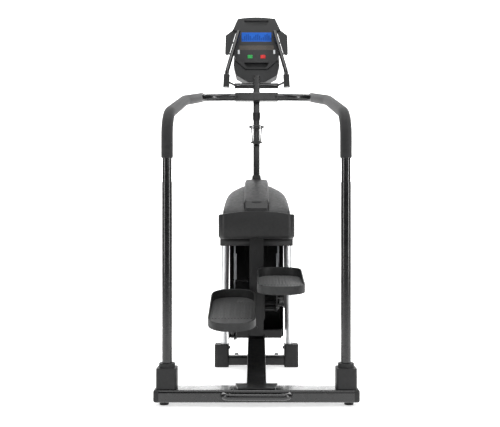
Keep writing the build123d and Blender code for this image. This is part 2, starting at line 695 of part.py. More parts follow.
def build_link(side):
    eye = link_pin(side)
    outer = ARM_INNER_X - LINK_GAP
    plane, width = slab(side, outer - LINK_THICKNESS, outer)
    with BuildPart() as link:
        with BuildSketch(plane):
            with BuildLine():
                CenterArc(LINK_PIVOT, LINK_EYE_RADIUS, 0, 360)
                CenterArc(eye, LINK_EYE_RADIUS, 0, 360)
            make_hull()
            with Locations(LINK_PIVOT):
                Circle(LINK_AXLE_DIAMETER / 2 + FIT_CLEARANCE, mode=Mode.SUBTRACT)
            with Locations(eye):
                Circle(LINK_PIN_DIAMETER / 2 + LINK_PIN_CLEARANCE, mode=Mode.SUBTRACT)
        extrude(amount=width)
    save(link.part, f"{side_name(side)}_link")


def build_pedal(side):
    plane = pedal_plane(side)
    side_plane = Plane(origin=plane.origin, x_dir=plane.y_dir, z_dir=plane.x_dir)
    with BuildPart() as tray:
        with BuildSketch(plane):
            with Locations((0, PEDAL_LENGTH / 2)):
                RectangleRounded(PEDAL_WIDTH, PEDAL_LENGTH, PEDAL_CORNER)
        extrude(amount=PEDAL_TOE)
        with BuildSketch(side_plane):
            with BuildLine():
                rim = [(60.0, PEDAL_HEEL), (150.0, PEDAL_HEEL + 8.0), (290.0, PEDAL_TOE - 4.0)]
                Polyline((0, PEDAL_HEEL), (0, 0), (PEDAL_LENGTH, 0), (PEDAL_LENGTH, PEDAL_TOE),
                         (330.0, PEDAL_TOE))
                Spline((330.0, PEDAL_TOE), *reversed(rim), (0, PEDAL_HEEL))
            make_face()
        extrude(amount=PEDAL_WIDTH, both=True, mode=Mode.INTERSECT)
        with BuildSketch(plane.offset(PEDAL_BASE)):
            with Locations((0, PEDAL_LENGTH / 2)):
                RectangleRounded(PEDAL_WIDTH - 2 * PEDAL_WALL, PEDAL_LENGTH - 2 * PEDAL_WALL,
                                 PEDAL_CORNER - PEDAL_WALL)
        extrude(amount=PEDAL_TOE, mode=Mode.SUBTRACT)
    save(tray.part, f"{side_name(side)}_pedal")

    inset = PEDAL_WALL + SEAT_CLEARANCE
    with BuildPart() as mat:
        with BuildSketch(plane.offset(PEDAL_BASE)):
            with Locations((0, PEDAL_LENGTH / 2)):
                RectangleRounded(PEDAL_WIDTH - 2 * inset, PEDAL_LENGTH - 2 * inset, PEDAL_CORNER - inset)
        extrude(amount=MAT_THICKNESS)
        pitch = (PEDAL_WIDTH - 2 * inset) / (MAT_RIB_COUNT + 1)
        with BuildSketch(plane.offset(PEDAL_BASE + MAT_THICKNESS)):
            with Locations((0, PEDAL_LENGTH / 2)):
                with GridLocations(pitch, 1, MAT_RIB_COUNT, 1):
                    SlotOverall(PEDAL_LENGTH - 2 * PEDAL_CORNER, pitch / 2, rotation=90)
        extrude(amount=MAT_RIB)
    save(mat.part, f"{side_name(side)}_tread_mat")


def build_pedal_bracket(side):
    plane = pedal_plane(side)
    link_inner = ARM_INNER_X - LINK_GAP - LINK_THICKNESS
    inner = link_inner - LINK_GAP - EAR_THICKNESS
    outer = ARM_INNER_X + ARM_THICKNESS + LINK_GAP + EAR_THICKNESS
    centre = side * (inner + outer) / 2
    pin, lower = arm_pin(side), link_pin(side)
    plate = Plane(origin=(centre, plane.origin.Y, plane.origin.Z), x_dir=(1, 0, 0), z_dir=plane.z_dir)
    with BuildPart() as bracket:
        with BuildSketch(plate.offset(-BRACKET_PLATE)):
            with Locations((0, PIVOT_FROM_HEEL)):
                RectangleRounded(outer - inner, BRACKET_LENGTH, EAR_THICKNESS)
        extrude(amount=BRACKET_PLATE)
        for ear_inner in (inner, outer - EAR_THICKNESS):
            ear_plane, width = slab(side, ear_inner, ear_inner + EAR_THICKNESS)
            top = pedal_point(side, PIVOT_FROM_HEEL - 26.0, -BRACKET_PLATE), \
                pedal_point(side, PIVOT_FROM_HEEL + 34.0, -BRACKET_PLATE)
            with BuildSketch(ear_plane):
                with BuildLine():
                    Line(*top)
                    CenterArc(lower, BRACKET_TIP_RADIUS, 0, 360)
                    CenterArc(pin, BRACKET_TIP_RADIUS, 0, 360)
                make_hull()
            extrude(amount=width)
        for point, diameter in ((pin, ARM_PIN_DIAMETER), (lower, LINK_PIN_DIAMETER)):
            pin_plane, width = slab(side, inner, outer)
            with BuildSketch(pin_plane):
                with Locations(point):
                    Circle(diameter / 2)
            extrude(amount=width)
    save(bracket.part, f"{side_name(side)}_pedal_bracket")


def pedal_point(side, along, up):
    """A (Y, Z) point given along the tread from the heel and up from the underside."""
    plane = pedal_plane(side)
    point = plane.origin + plane.y_dir * along + plane.z_dir * up
    return point.Y, point.Z


# ---- Drive ----------------------------------------------------------------------------------------------
def build_drive_frame():
    rear = UPRIGHT_Y + UPRIGHT_DEPTH
    front = MAST_Y + FRAME_CROSS_DEPTH / 2
    middle = FRAME_BOTTOM + FRAME_RAIL_HEIGHT / 2
    with BuildPart() as frame:
        with Locations((0, front - FRAME_CROSS_DEPTH / 2, middle)):
            Box(2 * FRAME_CROSS_HALF, FRAME_CROSS_DEPTH, FRAME_RAIL_HEIGHT)
        with Locations((0, rear + 15.0, middle)):
            Box(2 * FRAME_RAIL_OUT, 30.0, FRAME_RAIL_HEIGHT)
        for side in (-1, 1):
            with Locations((side * (FRAME_RAIL_IN + FRAME_RAIL_OUT) / 2, (rear + front) / 2, middle)):
                Box(FRAME_RAIL_OUT - FRAME_RAIL_IN, front - rear, FRAME_RAIL_HEIGHT)
    save(frame.part, "drive_frame")


def build_shaft_bearings():
    top = FRAME_BOTTOM + FRAME_RAIL_HEIGHT
    with BuildPart() as bearings:
        for side in (-1, 1):
            plane, width = slab(side, BEARING_X - BEARING_WIDTH / 2, BEARING_X + BEARING_WIDTH / 2)
            with BuildSketch(plane):
                with Locations(DRIVE_AXIS):
                    Circle(BEARING_RADIUS + 6.0)
                with BuildLine():
                    Polyline((DRIVE_AXIS[0] - 40.0, top), (DRIVE_AXIS[0] + 40.0, top),
                             (DRIVE_AXIS[0] + BEARING_RADIUS, DRIVE_AXIS[1]),
                             (DRIVE_AXIS[0] - BEARING_RADIUS, DRIVE_AXIS[1]), close=True)
                make_face()
                with Locations(DRIVE_AXIS):
                    Circle(DRIVE_SHAFT_DIAMETER / 2 + FIT_CLEARANCE, mode=Mode.SUBTRACT)
            extrude(amount=width)
    save(bearings.part, "shaft_bearings")


def build_drive_shaft():
    with BuildPart() as shaft:
        with BuildSketch(Plane.YZ.offset(-DRIVE_SHAFT_HALF)):
            with Locations(DRIVE_AXIS):
                Circle(DRIVE_SHAFT_DIAMETER / 2)
        extrude(amount=2 * DRIVE_SHAFT_HALF)
    save(shaft.part, "drive_shaft")

    with BuildPart() as pulley:
        with BuildSketch(Plane.YZ.offset(PULLEY_OUTER_X - PULLEY_WIDTH)):
            with Locations(DRIVE_AXIS):
                Circle(DRIVE_PULLEY_RADIUS)
                Circle(DRIVE_SHAFT_DIAMETER / 2, mode=Mode.SUBTRACT)
                with PolarLocations(DRIVE_PULLEY_RADIUS * 0.6, 5):
                    Circle(DRIVE_PULLEY_RADIUS * 0.2, mode=Mode.SUBTRACT)
        extrude(amount=PULLEY_WIDTH)
    save(pulley.part, "drive_pulley")


def build_clutch_sprocket(side):
    centre = ARM_INNER_X + ARM_THICKNESS / 2
    plane, width = slab(side, centre - SPROCKET_THICKNESS / 2, centre + SPROCKET_THICKNESS / 2)
    hub_plane, hub_width = slab(side, centre - SPROCKET_THICKNESS / 2 - CLUTCH_LENGTH, centre)
    with BuildPart() as sprocket:
        with BuildSketch(plane):
            with Locations(DRIVE_AXIS):
                Circle(SPROCKET_RADIUS)
                with PolarLocations(SPROCKET_RADIUS, SPROCKET_TEETH):
                    Circle(3.6, mode=Mode.SUBTRACT)
        extrude(amount=width)
        with BuildSketch(hub_plane):
            with Locations(DRIVE_AXIS):
                Circle(CLUTCH_RADIUS)
        extrude(amount=hub_width)
        with BuildSketch(hub_plane):
            with Locations(DRIVE_AXIS):
                Circle(DRIVE_SHAFT_DIAMETER / 2 + FIT_CLEARANCE)
        extrude(amount=2 * hub_width, both=True, mode=Mode.SUBTRACT)
    save(sprocket.part, f"{side_name(side)}_clutch_sprocket")


def build_chain(side):
    """Chain from the arm's lug over the sprocket, and the return spring that keeps it tight."""
    centre = ARM_INNER_X + ARM_THICKNESS / 2
    inner = SPROCKET_RADIUS + SEAT_CLEARANCE
    low = lug_top(side) + SEAT_CLEARANCE
    plane, width = slab(side, centre - SPROCKET_THICKNESS / 2, centre + SPROCKET_THICKNESS / 2)
    rear, front = chain_y(), SPRING_BAR_POINT[0]
    with BuildPart() as chain:
        with BuildSketch(plane):
            with Locations(DRIVE_AXIS):
                Circle(inner + CHAIN_THICKNESS)
                Circle(inner, mode=Mode.SUBTRACT)
            with Locations((DRIVE_AXIS[0], DRIVE_AXIS[1] - inner)):
                Rectangle(4 * inner, 2 * inner, mode=Mode.SUBTRACT)
            with Locations((rear, (low + DRIVE_AXIS[1]) / 2)):
                Rectangle(CHAIN_THICKNESS, DRIVE_AXIS[1] - low)
            with Locations((front, (CHAIN_END + DRIVE_AXIS[1]) / 2)):
                Rectangle(CHAIN_THICKNESS, DRIVE_AXIS[1] - CHAIN_END)
        extrude(amount=width)
        spring_low = SPRING_BAR_HEIGHT + SPRING_BAR_DIAMETER / 2
        with BuildSketch(Plane.XY.offset(spring_low + SEAT_CLEARANCE)):
            with Locations((side * centre, front)):
                Circle(SPRING_DIAMETER / 2)
        extrude(amount=CHAIN_END - spring_low - SEAT_CLEARANCE)
    save(chain.part, f"{side_name(side)}_chain")


def build_alternator():
    top = FRAME_BOTTOM + FRAME_RAIL_HEIGHT
    face = FLYWHEEL_INNER_X - FLYWHEEL_THICKNESS - 4.0
    with BuildPart() as housing:
        with BuildSketch(Plane.YZ.offset(face - ALTERNATOR_LENGTH)):
            with Locations(FLYWHEEL_AXIS):
                Circle(ALTERNATOR_RADIUS)
        extrude(amount=ALTERNATOR_LENGTH)
        fillet(housing.edges().filter_by(GeomType.CIRCLE), 5.0)
        with Locations((face - ALTERNATOR_LENGTH / 2, FLYWHEEL_AXIS[0], (top + FLYWHEEL_AXIS[1]) / 2)):
            Box(ALTERNATOR_LENGTH - 16.0, 44.0, FLYWHEEL_AXIS[1] - top)
        with BuildSketch(Plane.YZ.offset(face - ALTERNATOR_LENGTH / 2)):
            with Locations(FLYWHEEL_AXIS):
                Circle(FLYWHEEL_SHAFT_DIAMETER / 2 + FIT_CLEARANCE)
        extrude(amount=ALTERNATOR_LENGTH / 2, mode=Mode.SUBTRACT)
    save(housing.part, "alternator")

    with BuildPart() as wheel:
        with BuildSketch(Plane.YZ.offset(FLYWHEEL_INNER_X - FLYWHEEL_THICKNESS)):
            with Locations(FLYWHEEL_AXIS):
                Circle(FLYWHEEL_RADIUS)
                with PolarLocations(FLYWHEEL_RADIUS * 0.55, 6):
                    Circle(FLYWHEEL_RADIUS * 0.14, mode=Mode.SUBTRACT)
        extrude(amount=FLYWHEEL_THICKNESS)
        with BuildSketch(Plane.YZ.offset(PULLEY_OUTER_X - PULLEY_WIDTH)):
            with Locations(FLYWHEEL_AXIS):
                Circle(SMALL_PULLEY_RADIUS)
        extrude(amount=PULLEY_WIDTH)
        shaft_start = face - ALTERNATOR_LENGTH / 2 + 1.0
        with BuildSketch(Plane.YZ.offset(shaft_start)):
            with Locations(FLYWHEEL_AXIS):
                Circle(FLYWHEEL_SHAFT_DIAMETER / 2)
        extrude(amount=PULLEY_OUTER_X - shaft_start)
    save(wheel.part, "flywheel")


def belt_outline(extra):
    """Hull of the two pulleys' circles, grown by extra."""
    with BuildSketch(Plane.YZ) as hull:
        with BuildLine():
            CenterArc(DRIVE_AXIS, DRIVE_PULLEY_RADIUS + extra, 0, 360)
            CenterArc(FLYWHEEL_AXIS, SMALL_PULLEY_RADIUS + extra, 0, 360)
        make_hull()
    return hull.sketch_local


def build_belt():
    inner, outer = belt_outline(SEAT_CLEARANCE), belt_outline(SEAT_CLEARANCE + BELT_THICKNESS)
    with BuildPart() as belt:
        with BuildSketch(Plane.YZ.offset(PULLEY_OUTER_X - PULLEY_WIDTH + 2.0)):
            add(outer)
            add(inner, mode=Mode.SUBTRACT)
        extrude(amount=PULLEY_WIDTH - 4.0)
    save(belt.part, "drive_belt")


# ---- Shroud ----------------------------------------------------------------------------------------------
def band_plan(inset):
    """Outline of the rear band seen from above, open toward the front."""
    rear = SHROUD_REAR_Y + inset
    face, outer = BAND_FACE_HALF - inset * 0.6, BAND_HALF - inset
    return [(-outer, SHROUD_SPLIT_Y), (-outer, SHROUD_REAR_Y + BAND_CHAMFER), (-face, rear), (0, rear - 4.0),
            (face, rear), (outer, SHROUD_REAR_Y + BAND_CHAMFER), (outer, SHROUD_SPLIT_Y)]


def build_rear_band():
    upright_front = UPRIGHT_Y + UPRIGHT_DEPTH
    lip_rear = upright_front - 5.0
    with BuildPart() as band:
        with BuildSketch(Plane.XY.offset(BAND_BOTTOM)):
            with BuildLine():
                Polyline(*band_plan(0.0), close=True)
            make_face()
        extrude(amount=BAND_TOP - BAND_BOTTOM)
        with BuildSketch(Plane.XY.offset(BAND_BOTTOM + SHROUD_WALL)):
            with BuildLine():
                Polyline(*band_plan(SHROUD_WALL), close=True)
            make_face()
        extrude(amount=BAND_TOP - BAND_BOTTOM, mode=Mode.SUBTRACT)
        with BuildSketch(Plane.XY.offset(SKIRT_BOTTOM)):
            with Locations((0, (lip_rear + SHROUD_SPLIT_Y) / 2)):
                Rectangle(2 * SKIRT_HALF, SHROUD_SPLIT_Y - lip_rear)
        extrude(amount=BAND_BOTTOM - SKIRT_BOTTOM)
        with BuildSketch(Plane.XY.offset(SKIRT_BOTTOM)):
            with Locations((0, (lip_rear + SHROUD_WALL + SHROUD_SPLIT_Y) / 2)):
                Rectangle(2 * (SKIRT_HALF - SHROUD_WALL), SHROUD_SPLIT_Y - lip_rear - SHROUD_WALL)
        extrude(amount=BAND_BOTTOM - SKIRT_BOTTOM + SHROUD_WALL, mode=Mode.SUBTRACT)
        with BuildSketch(Plane.XY.offset(SKIRT_BOTTOM)):
            with Locations((0, UPRIGHT_Y + UPRIGHT_DEPTH / 2)):
                Rectangle(UPRIGHT_WIDTH + 2 * SEAT_CLEARANCE, UPRIGHT_DEPTH + 2 * SEAT_CLEARANCE)
        extrude(amount=BAND_BOTTOM - SKIRT_BOTTOM + 2 * SHROUD_WALL, mode=Mode.SUBTRACT)
    save(band.part, "rear_band")


def dome_profile(drop):
    """Dome's outline from the side, lowered by drop."""
    points = [(SHROUD_REAR_Y + 12.0 + drop, BAND_TOP), (SHROUD_REAR_Y + 36.0 + drop, 775.0 - drop),
              (SHROUD_REAR_Y + 110.0, 822.0 - drop), (SHROUD_REAR_Y + 190.0, 862.0 - drop),
              (SHROUD_REAR_Y + 260.0, 889.0 - drop), (SHROUD_SPLIT_Y - SEAT_CLEARANCE, 897.0 - drop)]
    return points, (SHROUD_SPLIT_Y - SEAT_CLEARANCE, BAND_TOP)


def dome_front(drop):
    """Dome's outline from behind, one half, shrunk by drop."""
    return [(153.0 - drop, BAND_TOP), (152.0 - drop, 785.0), (146.0 - drop, 826.0 - drop * 0.5),
            (122.0 - drop, 862.0 - drop), (74.0, 890.0 - drop), (0.0, 902.0 - drop)]


def dome_body(drop, side):
    """Solid bounded by the dome's side and rear outlines, on one side of the ridge."""
    profile, corner = dome_profile(drop)
    rear = dome_front(drop)
    low = RIDGE_HALF + SEAT_CLEARANCE
    with BuildPart() as dome:
        with BuildSketch(Plane.YZ.offset(-200.0)):
            with BuildLine():
                Spline(*profile)
                Polyline(profile[-1], corner, profile[0])
            make_face()
        extrude(amount=400.0)
        with BuildSketch(Plane.XZ.offset(-LENGTH / 2)):
            with BuildLine():
                Spline(*[(side * x, z) for x, z in rear])
                Polyline((0.0, rear[-1][1]), (0.0, BAND_TOP), (side * rear[0][0], BAND_TOP))
            make_face()
        extrude(amount=LENGTH, mode=Mode.INTERSECT)
        with Locations((side * (low / 2 - 50.0), SHROUD_REAR_Y + 200.0, 820.0)):
            Box(low + 100.0, 600.0, 400.0, mode=Mode.SUBTRACT)
    return dome.part


def build_side_shrouds():
    with BuildPart() as shells:
        for side in (-1, 1):
            add(dome_body(0.0, side))
            add(dome_body(SHROUD_WALL, side), mode=Mode.SUBTRACT)
    save(shells.part, "side_shrouds")


RIDGE_SKIRT = 38.0
BADGE_WIDTH = 95.0
BADGE_THICKNESS = 2.0


def ridge_profile():
    """Ridge's outline from the side, from its foot to its top behind the mast."""
    return [(SHROUD_REAR_Y + 14.0, BAND_TOP + 4.0), (SHROUD_REAR_Y + 24.0, 802.0),
            (SHROUD_REAR_Y + 80.0, 835.0), (SHROUD_REAR_Y + 170.0, 877.0), (SHROUD_REAR_Y + 260.0, 908.0),
            (SHROUD_REAR_Y + 320.0, RIDGE_TOP), (RIDGE_END_Y, RIDGE_TOP)]


def build_ridge_cover():
    top = ridge_profile()
    back = RIDGE_SKIRT * 0.7
    low = [(y + back, z - RIDGE_SKIRT) for y, z in top[1:-1]]
    low.append((RIDGE_END_Y, RIDGE_TOP - RIDGE_SKIRT))
    skin = [(y + SHROUD_WALL, z - SHROUD_WALL) for y, z in top[1:-1]]
    skin.append((RIDGE_END_Y + 10.0, RIDGE_TOP - SHROUD_WALL))
    inner_rear = SHROUD_REAR_Y + 18.0
    foot = (top[1][0] + back, top[0][1])
    with BuildPart() as ridge:
        with BuildSketch(Plane.YZ.offset(-RIDGE_HALF)):
            with BuildLine():
                Polyline(*top, *reversed(low), foot, close=True)
            make_face()
        extrude(amount=2 * RIDGE_HALF)
        with BuildSketch(Plane.YZ.offset(-RIDGE_HALF + SHROUD_WALL)):
            with BuildLine():
                Polyline((inner_rear, 0.0), (inner_rear, BAND_TOP), *skin,
                         (RIDGE_END_Y + 10.0, 0.0), close=True)
            make_face()
        extrude(amount=2 * (RIDGE_HALF - SHROUD_WALL), mode=Mode.SUBTRACT)
        with BuildSketch(Plane.XY.offset(RIDGE_TOP - SHROUD_WALL)):
            with Locations((0, MAST_Y)):
                Rectangle(MAST_WIDTH + 2 * SEAT_CLEARANCE, MAST_DEPTH + 2 * SEAT_CLEARANCE)
        extrude(amount=2 * SHROUD_WALL, mode=Mode.SUBTRACT)
    save(ridge.part, "ridge_cover")

    first, second = Vector(0, *top[0]), Vector(0, *top[1])
    up = (second - first).normalized()
    outward = Vector(0, -up.Z, up.Y)
    centre = first + up * 39.0
    with BuildPart() as badge:
        with BuildSketch(Plane(origin=centre, x_dir=(1, 0, 0), z_dir=outward)):
            RectangleRounded(BADGE_WIDTH, 34.0, 3.0)
        extrude(amount=BADGE_THICKNESS)
    save(badge.part, "ridge_badge")


def cover_body(inset):
    """Front cover's solid: wide below, a narrower block above that rises behind the dome."""
    nose = SHROUD_FRONT_Y - inset
    rear = SHROUD_SPLIT_Y
    with BuildPart() as body:
        with BuildSketch(Plane.YZ.offset(-BAND_HALF + inset)):
            with BuildLine():
                Polyline((rear, SKIRT_BOTTOM), (nose - 60.0, SKIRT_BOTTOM), (nose - 20.0, 650.0),
                         (nose - 20.0, 760.0), (nose - 60.0, 800.0 - inset), (rear, 800.0 - inset),
                         close=True)
            make_face()
        extrude(amount=2 * (BAND_HALF - inset))
        with BuildSketch(Plane.YZ.offset(-COVER_TOP_HALF + inset)):
            with BuildLine():
                Polyline((rear, 640.0), (nose, 700.0), (nose, 800.0), (nose - 34.0, 890.0 - inset),
                         (nose - 70.0, COVER_TOP - inset), (rear, COVER_TOP - inset), close=True)
            make_face()
        extrude(amount=2 * (COVER_TOP_HALF - inset))
    return body.part


def build_front_cover():
    with BuildPart() as cover:
        add(cover_body(0.0))
        add(cover_body(SHROUD_WALL), mode=Mode.SUBTRACT)
        reach = RIDGE_END_Y + SEAT_CLEARANCE - SHROUD_SPLIT_Y
        with Locations((0, SHROUD_SPLIT_Y + reach / 2, BAND_TOP + 200.0)):
            Box(2 * (RIDGE_HALF + SEAT_CLEARANCE), reach, 400.0, mode=Mode.SUBTRACT)
        half = FRAME_CROSS_HALF + SEAT_CLEARANCE
        cross_front = MAST_Y + FRAME_CROSS_DEPTH / 2 + SEAT_CLEARANCE
        tall = FRAME_RAIL_HEIGHT + 2 * SEAT_CLEARANCE
        with Locations((0, (SHROUD_SPLIT_Y + cross_front) / 2, FRAME_BOTTOM + FRAME_RAIL_HEIGHT / 2)):
            Box(2 * half, cross_front - SHROUD_SPLIT_Y, tall, mode=Mode.SUBTRACT)
        with BuildSketch(Plane.XY.offset(SKIRT_BOTTOM)):
            with Locations((0, (SHROUD_SPLIT_Y + LOWER_FRONT_Y) / 2)):
                Rectangle(2 * LOWER_HALF, LOWER_FRONT_Y - SHROUD_SPLIT_Y + 2.0)
        extrude(amount=SHROUD_WALL, mode=Mode.SUBTRACT)
    save(cover.part, "front_cover")


def build_lower_shroud():
    depth = LOWER_FRONT_Y - LOWER_REAR_Y
    with BuildPart() as shell:
        with BuildSketch(Plane.XY.offset(LOWER_BOTTOM)):
            with Locations((0, LOWER_REAR_Y + depth / 2)):
                Rectangle(2 * LOWER_HALF, depth)
            with Locations((0, LOWER_REAR_Y + (depth - SHROUD_WALL) / 2)):
                Rectangle(2 * (LOWER_HALF - SHROUD_WALL), depth - SHROUD_WALL, mode=Mode.SUBTRACT)
        extrude(amount=FRAME_BOTTOM - LOWER_BOTTOM)
        with BuildSketch(Plane.XY.offset(LOWER_BOTTOM)):
            with Locations((0, LOWER_REAR_Y + depth / 2)):
                Rectangle(2 * LOWER_HALF, depth)
            with Locations((0, LOWER_REAR_Y + 35.0)):
                Rectangle(SPINE_WIDTH + 2.0, 70.0, mode=Mode.SUBTRACT)
        extrude(amount=SHROUD_WALL)
    save(shell.part, "lower_shroud")


# ---- Mast, cage, console and handlebar --------------------------------------------------------------------
def build_mast():
    foot = FRAME_BOTTOM + FRAME_RAIL_HEIGHT
    with BuildPart() as mast:
        with BuildSketch(Plane.XY.offset(foot)):
            with Locations((0, MAST_Y)):
                RectangleRounded(MAST_WIDTH, MAST_DEPTH, MAST_CORNER)
                RectangleRounded(MAST_WIDTH - 2 * MAST_WALL, MAST_DEPTH - 2 * MAST_WALL,
                                 MAST_CORNER - MAST_WALL, mode=Mode.SUBTRACT)
        extrude(amount=MAST_TOP - foot)
    save(mast.part, "mast")

    with BuildPart() as collar:
        with BuildSketch(Plane.XY.offset(RIDGE_TOP)):
            with Locations((0, MAST_Y)):
                RectangleRounded(MAST_WIDTH + 2 * COLLAR_LIP + 6.0, MAST_DEPTH + 2 * COLLAR_LIP + 6.0, 9.0)
        with BuildSketch(Plane.XY.offset(RIDGE_TOP + COLLAR_HEIGHT)):
            with Locations((0, MAST_Y)):
                RectangleRounded(MAST_WIDTH + 2 * COLLAR_LIP, MAST_DEPTH + 2 * COLLAR_LIP, 8.0)
        loft()
        with BuildSketch(Plane.XY.offset(RIDGE_TOP)):
            with Locations((0, MAST_Y)):
                RectangleRounded(MAST_WIDTH, MAST_DEPTH, MAST_CORNER)
        extrude(amount=COLLAR_HEIGHT, mode=Mode.SUBTRACT)
    save(collar.part, "mast_collar")


def build_bottle_cage():
    face = MAST_Y - MAST_DEPTH / 2
    ring_y = face - CAGE_ROD_RADIUS * 2 - CAGE_RING_RADIUS
    rod = 2 * CAGE_ROD_RADIUS
    with BuildPart() as cage:
        add(rod_ring((0, ring_y, CAGE_RING_HEIGHT), CAGE_RING_RADIUS, CAGE_ROD_RADIUS))
        add(rod_ring((0, ring_y, CAGE_BASE_HEIGHT), CAGE_BASE_RADIUS, CAGE_ROD_RADIUS))
        for turn in (45, 135, 225, 315):
            across, along = math.cos(math.radians(turn)), math.sin(math.radians(turn))
            low = (CAGE_BASE_RADIUS * across, ring_y + CAGE_BASE_RADIUS * along, CAGE_BASE_HEIGHT)
            high = (CAGE_RING_RADIUS * across, ring_y + CAGE_RING_RADIUS * along, CAGE_RING_HEIGHT)
            add(straight_tube(low, high, CAGE_WIRE_DIAMETER))
        base = CAGE_BASE_RADIUS
        add(straight_tube((-base, ring_y, CAGE_BASE_HEIGHT), (base, ring_y, CAGE_BASE_HEIGHT),
                          CAGE_WIRE_DIAMETER))
        for side in (-1, 1):
            add(straight_tube((side * 9.0, face - CAGE_ROD_RADIUS, CAGE_BASE_HEIGHT - 6.0),
                              (side * 9.0, face - CAGE_ROD_RADIUS, CAGE_TOP), rod))
        for level, reach in ((CAGE_BASE_HEIGHT, CAGE_BASE_RADIUS), (CAGE_RING_HEIGHT, CAGE_RING_RADIUS)):
            with Locations((0, (ring_y + reach + face - CAGE_ROD_RADIUS) / 2, level)):
                Box(18.0, face - CAGE_ROD_RADIUS - ring_y - reach, CAGE_WIRE_DIAMETER)
        with Locations((0, face - CAGE_ROD_RADIUS, CAGE_TOP - 16.0)):
            Box(37.0, CAGE_WIRE_DIAMETER, 36.0)
    save(cage.part, "bottle_cage")


FACE_OUTLINE = [(54.0, 66.0), (101.0, 107.0), (116.0, 148.0), (91.0, 250.0), (100.0, 262.0),
                (119.0, 264.0), (93.0, 323.0)]
WING_OUTLINE = [(94.0, 272.0), (118.0, 268.0), (154.0, 240.0), (156.0, 146.0), (146.0, 140.0),
                (134.0, 150.0), (106.0, 250.0)]
BACK_OUTLINE = [(44.0, 2.0), (101.0, 35.0), (114.0, 88.0), (112.0, 146.0), (86.0, 250.0), (90.0, 318.0)]
FACE_CREST = 331.0
POCKET_OUTLINE = [(46.0, 70.0), (62.0, 98.0)]
POCKET_DEPTH = 20.0


def mirrored(points):
    """Points of a closed outline from one half's points."""
    return points + [(-x, y) for x, y in reversed(points)]


def build_console_front():
    with BuildPart() as bezel:
        with BuildSketch(face_plane(-BEZEL_DEPTH)):
            with BuildLine():
                Polyline(*mirrored(FACE_OUTLINE)[6::-1])
                Polyline(*mirrored(FACE_OUTLINE)[7:])
                Line((54.0, 66.0), (-54.0, 66.0))
                ThreePointArc((93.0, 323.0), (0.0, FACE_CREST), (-93.0, 323.0))
            make_face()
        extrude(amount=BEZEL_DEPTH)
        for side in (-1, 1):
            with BuildSketch(face_plane(-8.0 - WING_THICKNESS)):
                with BuildLine():
                    Polyline(*[(side * x, y) for x, y in WING_OUTLINE], close=True)
                make_face()
                for centre, level in ((111.0, 204.0), (126.0, 147.0)):
                    with Locations((side * centre, level)):
                        Rectangle(26.0, 4.0)
            extrude(amount=WING_THICKNESS)
        with BuildSketch(face_plane()):
            with BuildLine():
                Polyline(*mirrored(POCKET_OUTLINE), close=True)
            make_face()
        extrude(amount=-POCKET_DEPTH, mode=Mode.SUBTRACT)
        with BuildSketch(face_plane()):
            with Locations((0, 301.0)):
                Trapezoid(127.0, 26.0, 58.0, rotation=180)
        extrude(amount=-8.0, mode=Mode.SUBTRACT)
        with BuildSketch(face_plane()):
            with Locations((0, LCD_LEVEL)):
                Rectangle(LCD_WIDTH, LCD_HEIGHT)
        extrude(amount=-LCD_THICKNESS, mode=Mode.SUBTRACT)
        with BuildSketch(face_plane()):
            with Locations((0, STRIP_LEVEL)):
                Rectangle(STRIP_WIDTH, STRIP_HEIGHT)
        extrude(amount=-STRIP_THICKNESS, mode=Mode.SUBTRACT)
        with BuildSketch(face_plane()):
            gap = 2 * FIT_CLEARANCE + 2 * SEAT_CLEARANCE
            with Locations((-BUTTON_SPACING / 2, BUTTON_LEVEL), (BUTTON_SPACING / 2, BUTTON_LEVEL)):
                RectangleRounded(BUTTON_WIDTH + gap, BUTTON_HEIGHT + gap, 4.0)
            with Locations((-KEY_SPACING / 2, KEY_LEVEL), (KEY_SPACING / 2, KEY_LEVEL)):
                RectangleRounded(KEY_WIDTH + gap, KEY_HEIGHT + gap, 2.0)
        extrude(amount=-BUTTON_WELL, mode=Mode.SUBTRACT)
    save(bezel.part, "console_front")

    for name, x, level, width, height, corner in (
            ("start_button", -BUTTON_SPACING / 2, BUTTON_LEVEL, BUTTON_WIDTH, BUTTON_HEIGHT, 4.0),
            ("stop_button", BUTTON_SPACING / 2, BUTTON_LEVEL, BUTTON_WIDTH, BUTTON_HEIGHT, 4.0),
            ("left_level_key", -KEY_SPACING / 2, KEY_LEVEL, KEY_WIDTH, KEY_HEIGHT, 2.0),
            ("right_level_key", KEY_SPACING / 2, KEY_LEVEL, KEY_WIDTH, KEY_HEIGHT, 2.0)):
        with BuildPart() as button:
            with BuildSketch(face_plane(-BUTTON_DEPTH)):
                with Locations((x, level)):
                    RectangleRounded(width, height, corner)
            extrude(amount=BUTTON_DEPTH + BUTTON_PROUD)
        save(button.part, name)

    for name, level, width, height, depth in (
            ("lcd_window", LCD_LEVEL, LCD_WIDTH, LCD_HEIGHT, LCD_THICKNESS),
            ("label_strip", STRIP_LEVEL, STRIP_WIDTH, STRIP_HEIGHT, STRIP_THICKNESS)):
        with BuildPart() as panel:
            with BuildSketch(face_plane(-depth)):
                with Locations((0, level)):
                    Rectangle(width, height)
            extrude(amount=depth)
        save(panel.part, name)


